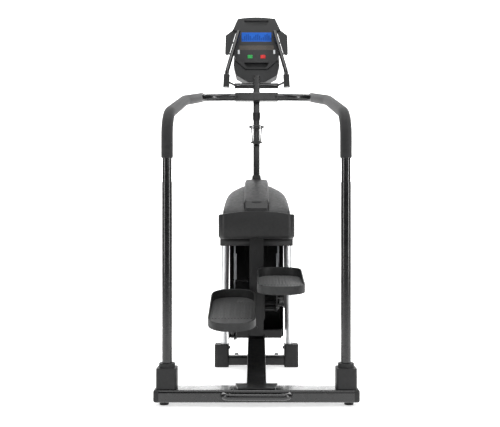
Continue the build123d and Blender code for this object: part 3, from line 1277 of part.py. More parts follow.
def build_console_back():
    with BuildPart() as back:
        with BuildSketch(face_plane(-CONSOLE_DEPTH)):
            with BuildLine():
                Polyline(*mirrored(BACK_OUTLINE), close=True)
            make_face()
        extrude(amount=CONSOLE_DEPTH - BEZEL_DEPTH)
        with BuildSketch(face_plane(-CONSOLE_DEPTH + CONSOLE_WALL)) as inner:
            with BuildLine():
                Polyline(*mirrored(BACK_OUTLINE), close=True)
            make_face()
            offset(amount=-CONSOLE_WALL, mode=Mode.REPLACE)
        extrude(amount=CONSOLE_DEPTH - BEZEL_DEPTH - CONSOLE_WALL, mode=Mode.SUBTRACT)
        bowl = [(44.0, 2.0), (101.0, 35.0), (114.0, 88.0), (109.0, 107.0), (101.0, 107.0), (54.0, 65.8)]
        with BuildSketch(face_plane(-BEZEL_DEPTH)):
            with BuildLine():
                Polyline(*mirrored(bowl), close=True)
            make_face()
        extrude(amount=BEZEL_DEPTH - 6.0)
        with BuildSketch(Plane.XY.offset(CONSOLE_FOOT[1] - 20.0)):
            with Locations((0, MAST_Y)):
                RectangleRounded(MAST_WIDTH + SEAT_CLEARANCE, MAST_DEPTH + SEAT_CLEARANCE, MAST_CORNER)
        extrude(amount=MAST_TOP - CONSOLE_FOOT[1] + 20.0 + SEAT_CLEARANCE, mode=Mode.SUBTRACT)
    save(back.part, "console_back")

    with BuildPart() as board:
        with BuildSketch(face_plane(-BEZEL_DEPTH - 1.6)):
            with Locations((0, 200.0)):
                Rectangle(140.0, 90.0)
        extrude(amount=1.6)
    save(board.part, "circuit_board")


GRIP_FOOT = (147.0, POST_Y + 698.0, 1363.0)
GRIP_HEAD = (143.0, POST_Y + 701.0, 1440.0)
GRIP_END = (88.0, POST_Y + 772.0, 1656.0)


def neck_ends(side):
    """Ends of the thin rod from the bar out to a grip tube."""
    return ((side * (BAR_HALF - 6.0), MAST_Y - 4.0, BAR_HEIGHT),
            (side * (GRIP_FOOT[0] - 1.5), GRIP_FOOT[1] + 1.3, BAR_HEIGHT + 3.0))


def build_handlebar():
    with BuildPart() as bar:
        for side in (-1, 1):
            root = (side * MAST_WIDTH / 2, MAST_Y, BAR_HEIGHT)
            end = (side * BAR_HALF, MAST_Y, BAR_HEIGHT)
            add(straight_tube(root, end, BAR_DIAMETER))
            add(straight_tube(*neck_ends(side), NECK_DIAMETER))
            grip = [(side * x, y, z) for x, y, z in (GRIP_FOOT, GRIP_HEAD, GRIP_END)]
            add(tube_along(grip, 60.0, GRIP_TUBE_DIAMETER))
    save(bar.part, "handlebar")

    with BuildPart() as grips:
        for side in (-1, 1):
            foot = Vector(side * GRIP_FOOT[0], *GRIP_FOOT[1:])
            head = Vector(side * GRIP_HEAD[0], *GRIP_HEAD[1:])
            add(straight_tube(tuple(foot), tuple(foot + (head - foot) * 0.8),
                              PULSE_GRIP_DIAMETER, GRIP_TUBE_DIAMETER))
            add(straight_tube(*neck_ends(side), NECK_DIAMETER + SEAT_CLEARANCE), mode=Mode.SUBTRACT)
    save(grips.part, "pulse_grips")


BOLT_HEAD = 4.0


def build_bolts():
    """Bolt heads that hold the weldments, rails and covers, each seated on the face it clamps."""
    heads = [(0.0, UPRIGHT_Y, 571.0, 6.5), (0.0, UPRIGHT_Y, 226.0, 6.5),
             (0.0, SHROUD_REAR_Y - 4.0, 641.0, 5.0)]
    bracket_y = CROSSBAR_Y - HANDRAIL_DIAMETER / 2 - 3.0
    heads += [(side * (BRACKET_HALF - 9.0), bracket_y, CROSSBAR_HEIGHT, 6.0) for side in (-1, 1)]
    with BuildPart() as bolts:
        for x, y, z, radius in heads:
            with BuildSketch(Plane(origin=(x, y, z), x_dir=(1, 0, 0), z_dir=(0, -1, 0))):
                RegularPolygon(radius, 6)
            extrude(amount=BOLT_HEAD)
    save(bolts.part, "frame_bolts")


def main():
    os.makedirs(PART_DIR, exist_ok=True)
    build_rear_stabilizer()
    build_feet()
    build_lift_handle()
    build_spine()
    build_front_stabilizer()
    build_front_boots_and_side_tubes()
    build_posts()
    build_handrails()
    build_handrail_bracket()
    build_upright()
    for side in (-1, 1):
        build_arm(side)
        build_link(side)
        build_pedal(side)
        build_pedal_bracket(side)
        build_clutch_sprocket(side)
        build_chain(side)
    build_drive_frame()
    build_shaft_bearings()
    build_drive_shaft()
    build_alternator()
    build_belt()
    build_rear_band()
    build_side_shrouds()
    build_ridge_cover()
    build_front_cover()
    build_lower_shroud()
    build_mast()
    build_bottle_cage()
    build_console_front()
    build_console_back()
    build_handlebar()
    build_bolts()


main()
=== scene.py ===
import json
import math
import bmesh
import bpy
from mathutils import Matrix, Vector


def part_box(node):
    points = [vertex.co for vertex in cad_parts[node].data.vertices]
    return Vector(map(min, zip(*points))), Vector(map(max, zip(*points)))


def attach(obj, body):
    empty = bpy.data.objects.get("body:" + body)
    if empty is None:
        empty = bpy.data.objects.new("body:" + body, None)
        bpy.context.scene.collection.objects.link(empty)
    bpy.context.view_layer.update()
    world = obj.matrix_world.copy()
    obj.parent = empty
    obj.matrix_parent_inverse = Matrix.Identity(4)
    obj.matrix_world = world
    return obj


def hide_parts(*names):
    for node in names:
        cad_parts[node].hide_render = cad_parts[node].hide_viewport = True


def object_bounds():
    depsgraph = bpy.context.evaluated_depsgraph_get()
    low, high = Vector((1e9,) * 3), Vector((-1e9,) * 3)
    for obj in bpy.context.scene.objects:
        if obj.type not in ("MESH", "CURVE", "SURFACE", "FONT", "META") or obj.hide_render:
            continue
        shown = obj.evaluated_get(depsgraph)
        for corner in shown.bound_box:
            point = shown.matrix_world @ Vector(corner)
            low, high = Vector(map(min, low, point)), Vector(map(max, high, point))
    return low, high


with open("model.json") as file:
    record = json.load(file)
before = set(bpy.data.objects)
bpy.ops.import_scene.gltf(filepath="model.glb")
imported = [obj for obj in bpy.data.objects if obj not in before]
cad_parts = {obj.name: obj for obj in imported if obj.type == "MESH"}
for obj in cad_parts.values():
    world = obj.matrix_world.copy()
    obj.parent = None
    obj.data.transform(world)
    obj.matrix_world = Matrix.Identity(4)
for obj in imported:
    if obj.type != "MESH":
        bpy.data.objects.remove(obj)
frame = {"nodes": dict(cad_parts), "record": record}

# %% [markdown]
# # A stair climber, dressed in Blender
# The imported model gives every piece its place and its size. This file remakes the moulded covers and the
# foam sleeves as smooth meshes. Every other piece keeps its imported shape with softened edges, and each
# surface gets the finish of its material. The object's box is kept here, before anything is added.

start_box = [list(corner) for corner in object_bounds()]
nodes = frame["nodes"]
body_of_node = {node: body for body, members in frame["record"]["behaviour"]["bodies"].items()
                for node in members}
slot_of_node = {row["node"]: row["material_slot"] for row in frame["record"]["subparts"]}
MM = 0.001
print("nodes", len(nodes), "box", start_box)

# %% [markdown]
# Colours are written as sRGB hex, the way a paint chart gives them. Blender shades in linear light, so one
# function converts them. A second one adds a shader node with its settings and links, and everything below
# is built from it.

# %% Colour and node helpers
def srgb(code):
    """A hex colour as linear RGBA."""
    parts = [int(code[i:i + 2], 16) / 255 for i in (0, 2, 4)]
    return (*[p / 12.92 if p <= 0.04045 else ((p + 0.055) / 1.055) ** 2.4 for p in parts], 1.0)


def add_node(tree, kind, settings=None, links=None):
    """Add one node, set its properties or input values, and link its inputs."""
    made = tree.nodes.new(kind)
    for name, value in (settings or {}).items():
        if isinstance(name, str) and hasattr(made, name):
            setattr(made, name, value)
        else:
            made.inputs[name].default_value = value
    for name, source in (links or {}).items():
        tree.links.new(source, made.inputs[name])
    return made


def new_material(name, **shader):
    """A material with one Principled shader; returns it with its tree, shader and object coordinates."""
    material = bpy.data.materials.new(name)
    material.use_nodes = True
    tree = material.node_tree
    principled = next(n for n in tree.nodes if n.type == "BSDF_PRINCIPLED")
    for key, value in shader.items():
        principled.inputs[key.replace("_", " ")].default_value = value
    place = add_node(tree, "ShaderNodeTexCoord").outputs["Object"]
    return material, tree, principled, place


def mottle(tree, place, size_mm, dark, light, low=0.35, high=0.65, detail=4.0):
    """Noise of a real size, turned into a colour that drifts between two shades."""
    noise = add_node(tree, "ShaderNodeTexNoise", {"Scale": 1000.0 / size_mm, "Detail": detail},
                     {"Vector": place})
    ramp = add_node(tree, "ShaderNodeValToRGB", {}, {"Fac": noise.outputs["Fac"]})
    ramp.color_ramp.elements[0].position = low
    ramp.color_ramp.elements[1].position = high
    ramp.color_ramp.elements[0].color = dark
    ramp.color_ramp.elements[1].color = light
    return ramp.outputs["Color"]


def bumped(tree, height, distance_mm, strength=1.0, below=None):
    """A bump from a height signal, on top of another bump if one is given."""
    links = {"Height": height}
    if below is not None:
        links["Normal"] = below
    return add_node(tree, "ShaderNodeBump", {"Distance": distance_mm * MM, "Strength": strength},
                    links).outputs["Normal"]


def grey(value):
    return (value, value, value, 1.0)

# %% [markdown]
# ## Finishes
# Powder coat is sprayed as dust and baked, so it is slightly pebbled and its gloss drifts a little. The frame
# has a satin black coat, the posts and mast a glossier one. Two noises do it: a coarse one moves the colour
# and the roughness, a fine one makes the orange peel.

# %% Powder coated steel
def powder_coat(name, dark, light, rough_low, rough_high, coat):
    material, tree, shader, place = new_material(name, Coat_Weight=coat, Coat_Roughness=0.12, IOR=1.5)
    tree.links.new(mottle(tree, place, 60.0, srgb(dark), srgb(light)), shader.inputs["Base Color"])
    tree.links.new(mottle(tree, place, 25.0, grey(rough_low), grey(rough_high)), shader.inputs["Roughness"])
    peel = add_node(tree, "ShaderNodeTexNoise", {"Scale": 1000.0 / 1.6, "Detail": 2.0}, {"Vector": place})
    tree.links.new(bumped(tree, peel.outputs["Fac"], 0.05, 0.35), shader.inputs["Normal"])
    return material


satin_black = powder_coat("satin black powder coat", "050506", "0a0a0b", 0.34, 0.46, 0.15)
gloss_black = powder_coat("gloss black powder coat", "060607", "0b0b0c", 0.20, 0.30, 0.5)
print("powder coats", satin_black.name, gloss_black.name)

# %% [markdown]
# Moulded ABS covers leave the tool with a fine spark-eroded texture. Voronoi cells of about a millimetre
# give that leathery grain and break the highlight up, which makes such a cover look soft.

# %% Textured mouldings
def moulded(name, dark, light, rough_low, rough_high, grain_mm, depth_mm):
    material, tree, shader, place = new_material(name, IOR=1.53)
    tree.links.new(mottle(tree, place, 90.0, srgb(dark), srgb(light)), shader.inputs["Base Color"])
    tree.links.new(mottle(tree, place, 12.0, grey(rough_low), grey(rough_high)), shader.inputs["Roughness"])
    cells = add_node(tree, "ShaderNodeTexVoronoi", {"feature": "F1", "Scale": 1000.0 / grain_mm},
                     {"Vector": place})
    fine = add_node(tree, "ShaderNodeTexNoise", {"Scale": 1000.0 / (grain_mm * 0.5), "Detail": 3.0},
                    {"Vector": place})
    grain = bumped(tree, cells.outputs["Distance"], depth_mm, 0.6)
    tree.links.new(bumped(tree, fine.outputs["Fac"], depth_mm, 0.4, grain), shader.inputs["Normal"])
    return material


cover_abs = moulded("charcoal textured ABS", "161617", "1e1e1f", 0.42, 0.55, 1.3, 0.10)
# The same charcoal cover plastic made darker for the band, the front cover and the lower shroud: the shade on
# these lower, upright covers is painted into its colour.
shade_darkened_abs = moulded("charcoal ABS darkened for shade", "070708", "0d0d0e", 0.45, 0.6, 1.3, 0.10)
boot_abs = moulded("black boot moulding", "0b0b0c", "111112", 0.5, 0.62, 1.0, 0.08)
pedal_abs = moulded("grey pedal nylon", "191a1a", "222323", 0.44, 0.56, 1.2, 0.12)
console_abs = moulded("console grey ABS", "141516", "1b1c1d", 0.40, 0.5, 1.0, 0.08)
print("mouldings ready")

# %% [markdown]
# The side tubes are satin chromed, with faint polishing lines. Zinc plated shafts are duller and slightly
# blotched. Metals keep the default IOR.

# %% Bare metals
def metal(name, dark, light, rough_low, rough_high, grain_mm):
    material, tree, shader, place = new_material(name, Metallic=1.0)
    tree.links.new(mottle(tree, place, 30.0, srgb(dark), srgb(light)), shader.inputs["Base Color"])
    blotches = mottle(tree, place, grain_mm, grey(rough_low), grey(rough_high))
    tree.links.new(blotches, shader.inputs["Roughness"])
    lines = add_node(tree, "ShaderNodeTexNoise", {"Scale": 1000.0 / grain_mm, "Detail": 3.0},
                     {"Vector": place})
    tree.links.new(bumped(tree, lines.outputs["Fac"], 0.01, 0.2), shader.inputs["Normal"])
    return material


chrome = metal("satin chrome", "f2f4f5", "fafbfc", 0.34, 0.42, 6.0)
zinc = metal("zinc plated steel", "8d9093", "a9abad", 0.28, 0.45, 3.0)
cast_iron = metal("machined cast iron", "55575a", "6c6e71", 0.35, 0.5, 2.0)
alloy = metal("cast aluminium", "9a9c9e", "b4b6b8", 0.38, 0.55, 1.5)
inner_steel = powder_coat("inner frame enamel", "191a1b", "232425", 0.4, 0.55, 0.0)
print("metals ready")

# %% [markdown]
# Foam grips are closed-cell nitrile: dull, with cells of about half a millimetre, drawn here at two
# millimetres so that they show. Solid rubber is the same black with a smoother skin. The tread's ribs run
# lengthwise, so a wave across X carries the fine ones between the moulded ribs.

# %% Foam and rubber
def soft_rubber(name, dark, light, cell_mm, depth_mm, roughness):
    material, tree, shader, place = new_material(name, Roughness=roughness, IOR=1.45, Sheen_Weight=0.25,
                                                 Sheen_Roughness=0.5)
    tree.links.new(mottle(tree, place, 14.0, srgb(dark), srgb(light)), shader.inputs["Base Color"])
    cells = add_node(tree, "ShaderNodeTexVoronoi", {"feature": "SMOOTH_F1", "Scale": 1000.0 / cell_mm},
                     {"Vector": place})
    tree.links.new(bumped(tree, cells.outputs["Distance"], depth_mm, 0.7), shader.inputs["Normal"])
    return material, tree, shader, place


foam = soft_rubber("nitrile grip foam", "111112", "1b1b1c", 2.0, 0.25, 0.75)[0]
rubber = soft_rubber("moulded rubber", "121213", "1b1b1c", 1.0, 0.05, 0.6)[0]
belt_rubber = soft_rubber("belt rubber", "0d0d0d", "151515", 0.8, 0.04, 0.7)[0]
tread, tread_tree, tread_shader, tread_place = soft_rubber(
    "ribbed tread rubber", "1b1c1c", "262727", 1.2, 0.1, 0.6)
waves = add_node(tread_tree, "ShaderNodeTexWave", {"bands_direction": "X", "Scale": 1000.0 / 5.0 / 20.0,
                                                   "Distortion": 1.5, "Detail": 1.0, "Detail Scale": 0.6},
                 {"Vector": tread_place})
below = tread_shader.inputs["Normal"].links[0].from_socket
tread_tree.links.new(bumped(tread_tree, waves.outputs["Fac"], 0.8, 0.8, below), tread_shader.inputs["Normal"])
print("rubbers ready")

# %% [markdown]
# The console needs a few finishes of its own: the blue display, the key strip and bright moulded buttons.
# The display shows sixteen upright bars of segments whose heights are made up. They are worked out from
# Object coordinates, so they stay put on the window. The strip is plain, with no marks on it.

# %% Display, print and button plastics
def simple_plastic(name, dark, light, roughness, coat=0.0):
    material, tree, shader, place = new_material(name, IOR=1.49, Coat_Weight=coat, Coat_Roughness=0.08)
    tree.links.new(mottle(tree, place, 8.0, srgb(dark), srgb(light)), shader.inputs["Base Color"])
    tree.links.new(mottle(tree, place, 3.0, grey(roughness - 0.04), grey(roughness + 0.04)),
                   shader.inputs["Roughness"])
    fine = add_node(tree, "ShaderNodeTexNoise", {"Scale": 1000.0 / 0.8, "Detail": 2.0}, {"Vector": place})
    tree.links.new(bumped(tree, fine.outputs["Fac"], 0.03, 0.3), shader.inputs["Normal"])
    return material


def arithmetic(tree, operation, first, second=0.0):
    """One Math node; each operand is a number or another node's output."""
    made = add_node(tree, "ShaderNodeMath", {"operation": operation})
    for index, value in enumerate((first, second)):
        if isinstance(value, bpy.types.NodeSocket):
            tree.links.new(value, made.inputs[index])
        else:
            made.inputs[index].default_value = value
    return made.outputs["Value"]


def backlit_display(window_low, window_high):
    material, tree, shader, place = new_material("backlit display glass", Roughness=0.12, IOR=1.52,
                                                 Coat_Weight=0.6, Coat_Roughness=0.03)
    split = add_node(tree, "ShaderNodeSeparateXYZ", {}, {"Vector": place})
    width, tall = window_high.x - window_low.x, window_high.z - window_low.z
    across = arithmetic(tree, "DIVIDE", arithmetic(tree, "SUBTRACT", split.outputs["X"], window_low.x), width)
    up = arithmetic(tree, "DIVIDE", arithmetic(tree, "SUBTRACT", split.outputs["Z"], window_low.z), tall)
    column = arithmetic(tree, "MULTIPLY", across, 16.0)
    level = arithmetic(tree, "ABSOLUTE", arithmetic(tree, "SINE", arithmetic(
        tree, "MULTIPLY", arithmetic(tree, "FLOOR", column), 0.61)))
    reach = arithmetic(tree, "ADD", arithmetic(tree, "MULTIPLY", level, 0.5), 0.3)
    lit = arithmetic(tree, "LESS_THAN", up, reach)
    lit = arithmetic(tree, "MULTIPLY", lit, arithmetic(tree, "GREATER_THAN", up, 0.12))
    for signal, count in ((across, 16.0), (up, 14.0)):
        cell = arithmetic(tree, "FRACT", arithmetic(tree, "MULTIPLY", signal, count))
        lit = arithmetic(tree, "MULTIPLY", lit, arithmetic(tree, "GREATER_THAN", cell, 0.28))
    shade = add_node(tree, "ShaderNodeMix", {"data_type": "RGBA"})
    tree.links.new(lit, shade.inputs[0])
    shade.inputs[6].default_value = srgb("1f4f9c")
    shade.inputs[7].default_value = srgb("12306a")
    tree.links.new(shade.outputs[2], shader.inputs["Base Color"])
    tree.links.new(shade.outputs[2], shader.inputs["Emission Color"])
    shader.inputs["Emission Strength"].default_value = 0.5
    return material


strip_print = simple_plastic("printed key film", "3f3a35", "4a443e", 0.35, 0.2)
button_green = simple_plastic("green button plastic", "1f8a3c", "28994a", 0.35, 0.2)
button_red = simple_plastic("red button plastic", "b3201f", "c42a28", 0.35, 0.2)
key_white = simple_plastic("pale key plastic", "c3c6c8", "d2d5d7", 0.4)
dark_window = simple_plastic("smoked acrylic", "060607", "0c0c0d", 0.15, 0.6)
board_enamel = simple_plastic("circuit board enamel", "0f4a2a", "155c35", 0.4, 0.3)
display = backlit_display(*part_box("lcd_window"))
finishes = {"frame_black": satin_black, "post_black": gloss_black, "inner_steel": inner_steel,
            "chrome_tube": chrome, "zinc_steel": zinc, "shroud_plastic": cover_abs,
            "boot_plastic": boot_abs, "pedal_plastic": pedal_abs, "tread_rubber": tread, "foam_grip": foam,
            "foot_rubber": rubber, "console_plastic": console_abs, "lcd": display, "label": strip_print,
            "start_green": button_green, "stop_red": button_red, "key_white": key_white,
            "board_green": board_enamel, "belt_rubber": belt_rubber, "cast_flywheel": cast_iron,
            "alternator_alu": alloy}
for node, piece in nodes.items():
    for holder in piece.material_slots:
        holder.material = finishes[slot_of_node[node]]
print("finishes", len(finishes))

# %% [markdown]
# ## Ways to make a piece
# Every new piece ends the same way: its mesh stands at the origin, it gets one finish, and it rides on the body
# of the imported node that it stands for. Sizes below are in millimetres, so one helper turns
# points to metres. Folded and moulded parts keep their imported shape but not their knife edges: a merged copy
# gets a small bevel, because a real edge always catches a thin line of light.

# %% Piece helpers
def place_piece(name, mesh, material, node, replaced=True):
    """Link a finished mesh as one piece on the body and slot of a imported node."""
    made = bpy.data.objects.new(name, mesh)
    bpy.context.scene.collection.objects.link(made)
    mesh.materials.clear()
    mesh.materials.append(material or finishes[slot_of_node[node]])
    for face in mesh.polygons:
        face.material_index = 0
    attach(made, body_of_node[node])
    if replaced:
        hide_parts(node)
    return made


def soften(made, width, segments=2, limit_deg=30.0):
    """Round every edge sharper than the limit."""
    bevel = made.modifiers.new("soft edges", "BEVEL")
    bevel.width = width * MM
    bevel.segments = segments
    bevel.limit_method = "ANGLE"
    bevel.angle_limit = math.radians(limit_deg)
    bevel.harden_normals = True
    return made


def smooth_below(mesh, degrees):
    """Shade smooth, and keep edges above an angle sharp."""
    mesh.shade_smooth()
    mesh.set_sharp_from_angle(angle=math.radians(degrees))


def softened_copy(node, width, material=None, segments=2):
    """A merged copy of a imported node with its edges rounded."""
    mesh = nodes[node].data.copy()
    work = bmesh.new()
    work.from_mesh(mesh)
    bmesh.ops.remove_doubles(work, verts=work.verts, dist=0.02 * MM)
    bmesh.ops.dissolve_limit(work, angle_limit=math.radians(0.6), verts=work.verts, edges=work.edges)
    work.to_mesh(mesh)
    work.free()
    smooth_below(mesh, 32.0)
    made = place_piece("soft_" + node, mesh, material, node)
    if width > 0.0:
        soften(made, width, segments)
    return made


def mesh_of(name, points, faces, inside=None):
    """A mesh from points in millimetres, turned so that its faces look away from an inside point."""
    mesh = bpy.data.meshes.new(name)
    mesh.from_pydata([Vector(point) * MM for point in points], [], faces)
    work = bmesh.new()
    work.from_mesh(mesh)
    bmesh.ops.remove_doubles(work, verts=work.verts, dist=0.01 * MM)
    bmesh.ops.recalc_face_normals(work, faces=work.faces)
    if inside is not None:
        centre = Vector(inside) * MM
        outward = sum(face.calc_area() * face.normal.dot(face.calc_center_median() - centre)
                      for face in work.faces)
        if outward < 0.0:
            bmesh.ops.reverse_faces(work, faces=work.faces)
    work.to_mesh(mesh)
    work.free()
    return mesh


def grid_faces(rows, columns, around=False):
    """Quads between neighbouring rows of points."""
    last = columns if around else columns - 1
    return [(r * columns + c, r * columns + (c + 1) % columns,
             (r + 1) * columns + (c + 1) % columns, (r + 1) * columns + c)
            for r in range(rows - 1) for c in range(last)]


def surface(name, rows, inside):
    """A sheet through rows of points."""
    points = [point for row in rows for point in row]
    mesh = mesh_of(name, points, grid_faces(len(rows), len(rows[0])), inside)
    smooth_below(mesh, 40.0)
    return mesh


def walled(made, wall):
    """Give an open sheet its wall, grown inward."""
    thick = made.modifiers.new("wall", "SOLIDIFY")
    thick.thickness = wall * MM
    thick.offset = -1.0
    thick.use_even_offset = True
    return made


def through(points, count):
    """A smooth run through the points (Catmull-Rom), as tuples."""
    given = [Vector(point) for point in points]
    padded = [2 * given[0] - given[1], *given, 2 * given[-1] - given[-2]]
    run = []
    for i in range(1, len(padded) - 2):
        p0, p1, p2, p3 = padded[i - 1:i + 3]
        for step in range(count):
            t = step / count
            run.append(0.5 * (2 * p1 + (p2 - p0) * t + (2 * p0 - 5 * p1 + 4 * p2 - p3) * t * t
                              + (3 * p1 - p0 - 3 * p2 + p3) * t ** 3))
    return run + [given[-1]]


def bent(points, radii, step_deg=5.0):
    """Points along straight runs joined by arcs, one radius for each corner."""
    corners = [Vector(point) for point in points]
    path = [corners[0]]
    for before, corner, after, radius in zip(corners, corners[1:], corners[2:], radii):
        first, second = (before - corner).normalized(), (after - corner).normalized()
        turn = math.pi - first.angle(second)
        reach = radius * math.tan(turn / 2)
        middle = corner + (first + second).normalized() * radius / math.cos(turn / 2)
        arm = corner + first * reach - middle
        axis = arm.cross(corner + second * reach - middle).normalized()
        steps = max(2, round(math.degrees(turn) / step_deg))
        path += [middle + Matrix.Rotation(turn * i / steps, 3, axis) @ arm for i in range(steps + 1)]
    return path + [corners[-1]]


def tube_rows(path, radius, sides=40, lip=0.0):
    """Rings round a path, with the two ends drawn in over a rounded lip."""
    path = [Vector(point) for point in path]
    run = [0.0]
    for first, second in zip(path, path[1:]):
        run.append(run[-1] + (second - first).length)
    arc = [math.radians(22.5 * i) for i in range(5)] if lip else []
    ends = [(lip * (1 - math.cos(angle)), radius - lip + lip * math.sin(angle)) for angle in arc]
    stations = ends + [(s, radius) for s in run if not lip or lip < s < run[-1] - lip]
    stations += [(run[-1] - s, r) for s, r in reversed(ends)]
    tangent = (path[1] - path[0]).normalized()
    side = tangent.orthogonal().normalized()
    rows = []
    for distance, size in stations:
        i = max(k for k, s in enumerate(run[:-1]) if s <= distance + 1e-6)
        share = (distance - run[i]) / (run[i + 1] - run[i])
        here = path[i].lerp(path[i + 1], share)
        ahead = (path[i + 1] - path[i]).normalized()
        if share < 1e-6 and i > 0:
            ahead = (ahead + (path[i] - path[i - 1]).normalized()).normalized()
        side = (side - ahead * side.dot(ahead)).normalized()
        across = ahead.cross(side)
        rows.append([here + (side * math.cos(a) + across * math.sin(a)) * size
                     for a in (2 * math.pi * k / sides for k in range(sides))])
    return rows


def closed_tube(rows):
    """Points and faces of a tube with its two ends closed by fans."""
    sides = len(rows[0])
    points = [point for row in rows for point in row]
    faces = grid_faces(len(rows), sides, around=True)
    for row, flip in ((0, False), (len(rows) - 1, True)):
        centre = len(points)
        points.append(sum(rows[row], Vector()) / sides)
        for k in range(sides):
            pair = (row * sides + k, row * sides + (k + 1) % sides)
            faces.append((centre, *(pair if flip else reversed(pair))))
    return points, faces


def joined(name, parts):
    """Several closed bodies of (points, faces) as one mesh."""
    points, faces = [], []
    for more_points, more_faces in parts:
        faces += [tuple(index + len(points) for index in face) for face in more_faces]
        points += list(more_points)
    mesh = mesh_of(name, points, faces)
    smooth_below(mesh, 40.0)
    return mesh


print("helpers ready")

# %% [markdown]
# ## Welded frame and machined pieces
# Tubes, plates, arms and castings have the right shape already. Each gets the small radius that drawing,
# grinding or casting leaves, and keeps its packed place exactly. Round tubes need no bevel, only shading
# that runs smoothly round them.

# %% Softened structure
edge_widths = {
    "rear_stabilizer": 0.0, "rear_end_caps": 0.0, "lift_handle": 0.0, "spine_beam": 2.0,
    "front_stabilizer": 0.8, "left_wheel": 0.0, "right_wheel": 0.0, "front_boots": 2.5, "side_tubes": 0.6,
    "post_boots": 1.2, "handrail_posts": 0.4, "handrails": 0.0, "handrail_bracket": 1.5,
    "upright_frame": 2.0, "pivot_axles": 0.8, "left_arm": 1.6, "right_arm": 1.6, "left_link": 1.0,
    "right_link": 1.0, "left_pedal_bracket": 0.8, "right_pedal_bracket": 0.8, "drive_frame": 1.5,
    "shaft_bearings": 1.0, "drive_shaft": 1.0, "drive_pulley": 0.8, "alternator": 0.8, "flywheel": 1.0,
    "left_clutch_sprocket": 0.5, "right_clutch_sprocket": 0.5, "drive_belt": 0.5, "mast": 0.0,
    "mast_collar": 1.5, "left_foot": 0.5, "right_foot": 0.5, "circuit_board": 0.3}
node_finish = {"lift_handle": gloss_black, "mast": gloss_black, "handrail_bracket": gloss_black,
               "mast_collar": boot_abs, "rear_stabilizer": gloss_black, "handrails": gloss_black}
for node, width in edge_widths.items():
    softened_copy(node, width, node_finish.get(node))
# The lower shroud gets the darker copy of the cover plastic, with its shade painted in.
softened_copy("lower_shroud", 1.2, shade_darkened_abs)
print("softened", len(edge_widths) + 1)

# %% [markdown]
# ## Moulded covers
# The dome over the drive is two thin mouldings that meet a raised ridge. A dome like this has one outline
# seen from the side and another seen from behind, so every point can be worked out from the two: the side
# outline gives the height at each station, and the rear outline, scaled to that height, gives the section.

# %% Stations of the covers
band_low, band_high = (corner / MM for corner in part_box("rear_band"))
dome_low, dome_high = (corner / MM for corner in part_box("side_shrouds"))
ridge_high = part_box("ridge_cover")[1] / MM
cover_low, cover_high = (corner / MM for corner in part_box("front_cover"))
SHROUD_REAR = band_low.y + 4.0
SHROUD_SPLIT = band_high.y
BAND_BOTTOM, BAND_TOP = 629.0, dome_low.z
BAND_HALF, FACE_HALF, BAND_CHAMFER = band_high.x, dome_high.x, 30.0
RIDGE_HALF, RIDGE_TOP = ridge_high.x, ridge_high.z
WALL = 3.0
print("shroud from", SHROUD_REAR, "to", SHROUD_SPLIT, "band", BAND_TOP, "ridge", RIDGE_HALF, RIDGE_TOP)

# %% Dome halves
side_outline = [(SHROUD_REAR + 12.0, 0.0), (SHROUD_REAR + 36.0, 34.0), (SHROUD_REAR + 110.0, 81.0),
                (SHROUD_REAR + 190.0, 121.0), (SHROUD_REAR + 260.0, 148.0), (SHROUD_SPLIT - 0.4, 156.0)]
rear_outline = [(1.0, 0.0), (0.995, 0.27), (0.955, 0.53), (0.80, 0.75), (0.48, 0.925), (0.36, 0.955)]


def dome_rows(side):
    rows = []
    for y, _, height in through([(y, 0.0, h) for y, h in side_outline], 7):
        nearness = max(0.0, 1.0 - (y - SHROUD_REAR - 12.0) / 45.0)
        half = FACE_HALF - 14.0 * nearness ** 2
        rows.append([(side * max(across * half, RIDGE_HALF + 0.4), y, BAND_TOP + max(up, 0.0) * height)
                     for across, up, _ in through([(a, u, 0.0) for a, u in rear_outline], 6)])
    return rows


middle = (0.0, SHROUD_REAR + 200.0, BAND_TOP)
halves = [surface("dome", dome_rows(side), middle) for side in (-1, 1)]
work = bmesh.new()
for half in halves:
    work.from_mesh(half)
dome_mesh = bpy.data.meshes.new("dome_shells")
work.to_mesh(dome_mesh)
work.free()
smooth_below(dome_mesh, 40.0)
soften(walled(place_piece("dome_shells", dome_mesh, cover_abs, "side_shrouds"), WALL), 0.8)
print("dome faces", len(dome_mesh.polygons))

# %% [markdown]
# The ridge is a channel pressed over the gap. Its section is the same all along: a slightly crowned top, a
# rounded shoulder each side and a short skirt. It follows the ridge line, square to it at every station.

# %% Ridge
ridge_line = [(SHROUD_REAR + 14.0, BAND_TOP + 4.0), (SHROUD_REAR + 19.0, 783.0), (SHROUD_REAR + 27.0, 806.0),
              (SHROUD_REAR + 80.0, 835.0), (SHROUD_REAR + 170.0, 877.0), (SHROUD_REAR + 260.0, 908.0),
              (SHROUD_REAR + 315.0, RIDGE_TOP - 2.0), (ridge_high.y - 28.0, RIDGE_TOP - 0.4),
              (ridge_high.y, RIDGE_TOP - 0.4)]
SHOULDER = 13.0
SKIRT = 30.0


def ridge_section():
    """Across and outward offsets from one skirt's edge over the top to the other."""
    arc = [math.radians(15 * i) for i in range(7)]
    left = [(-RIDGE_HALF, -SKIRT)]
    left += [(-RIDGE_HALF + SHOULDER * (1 - math.cos(a)), -2.0 - SHOULDER * (1 - math.sin(a))) for a in arc]
    crown = [(x, -2.0 * (x / (RIDGE_HALF - SHOULDER)) ** 2) for x in (-30.0, -15.0, 0.0)]
    half = left + crown
    return half + [(-x, out) for x, out in reversed(half[:-1])]


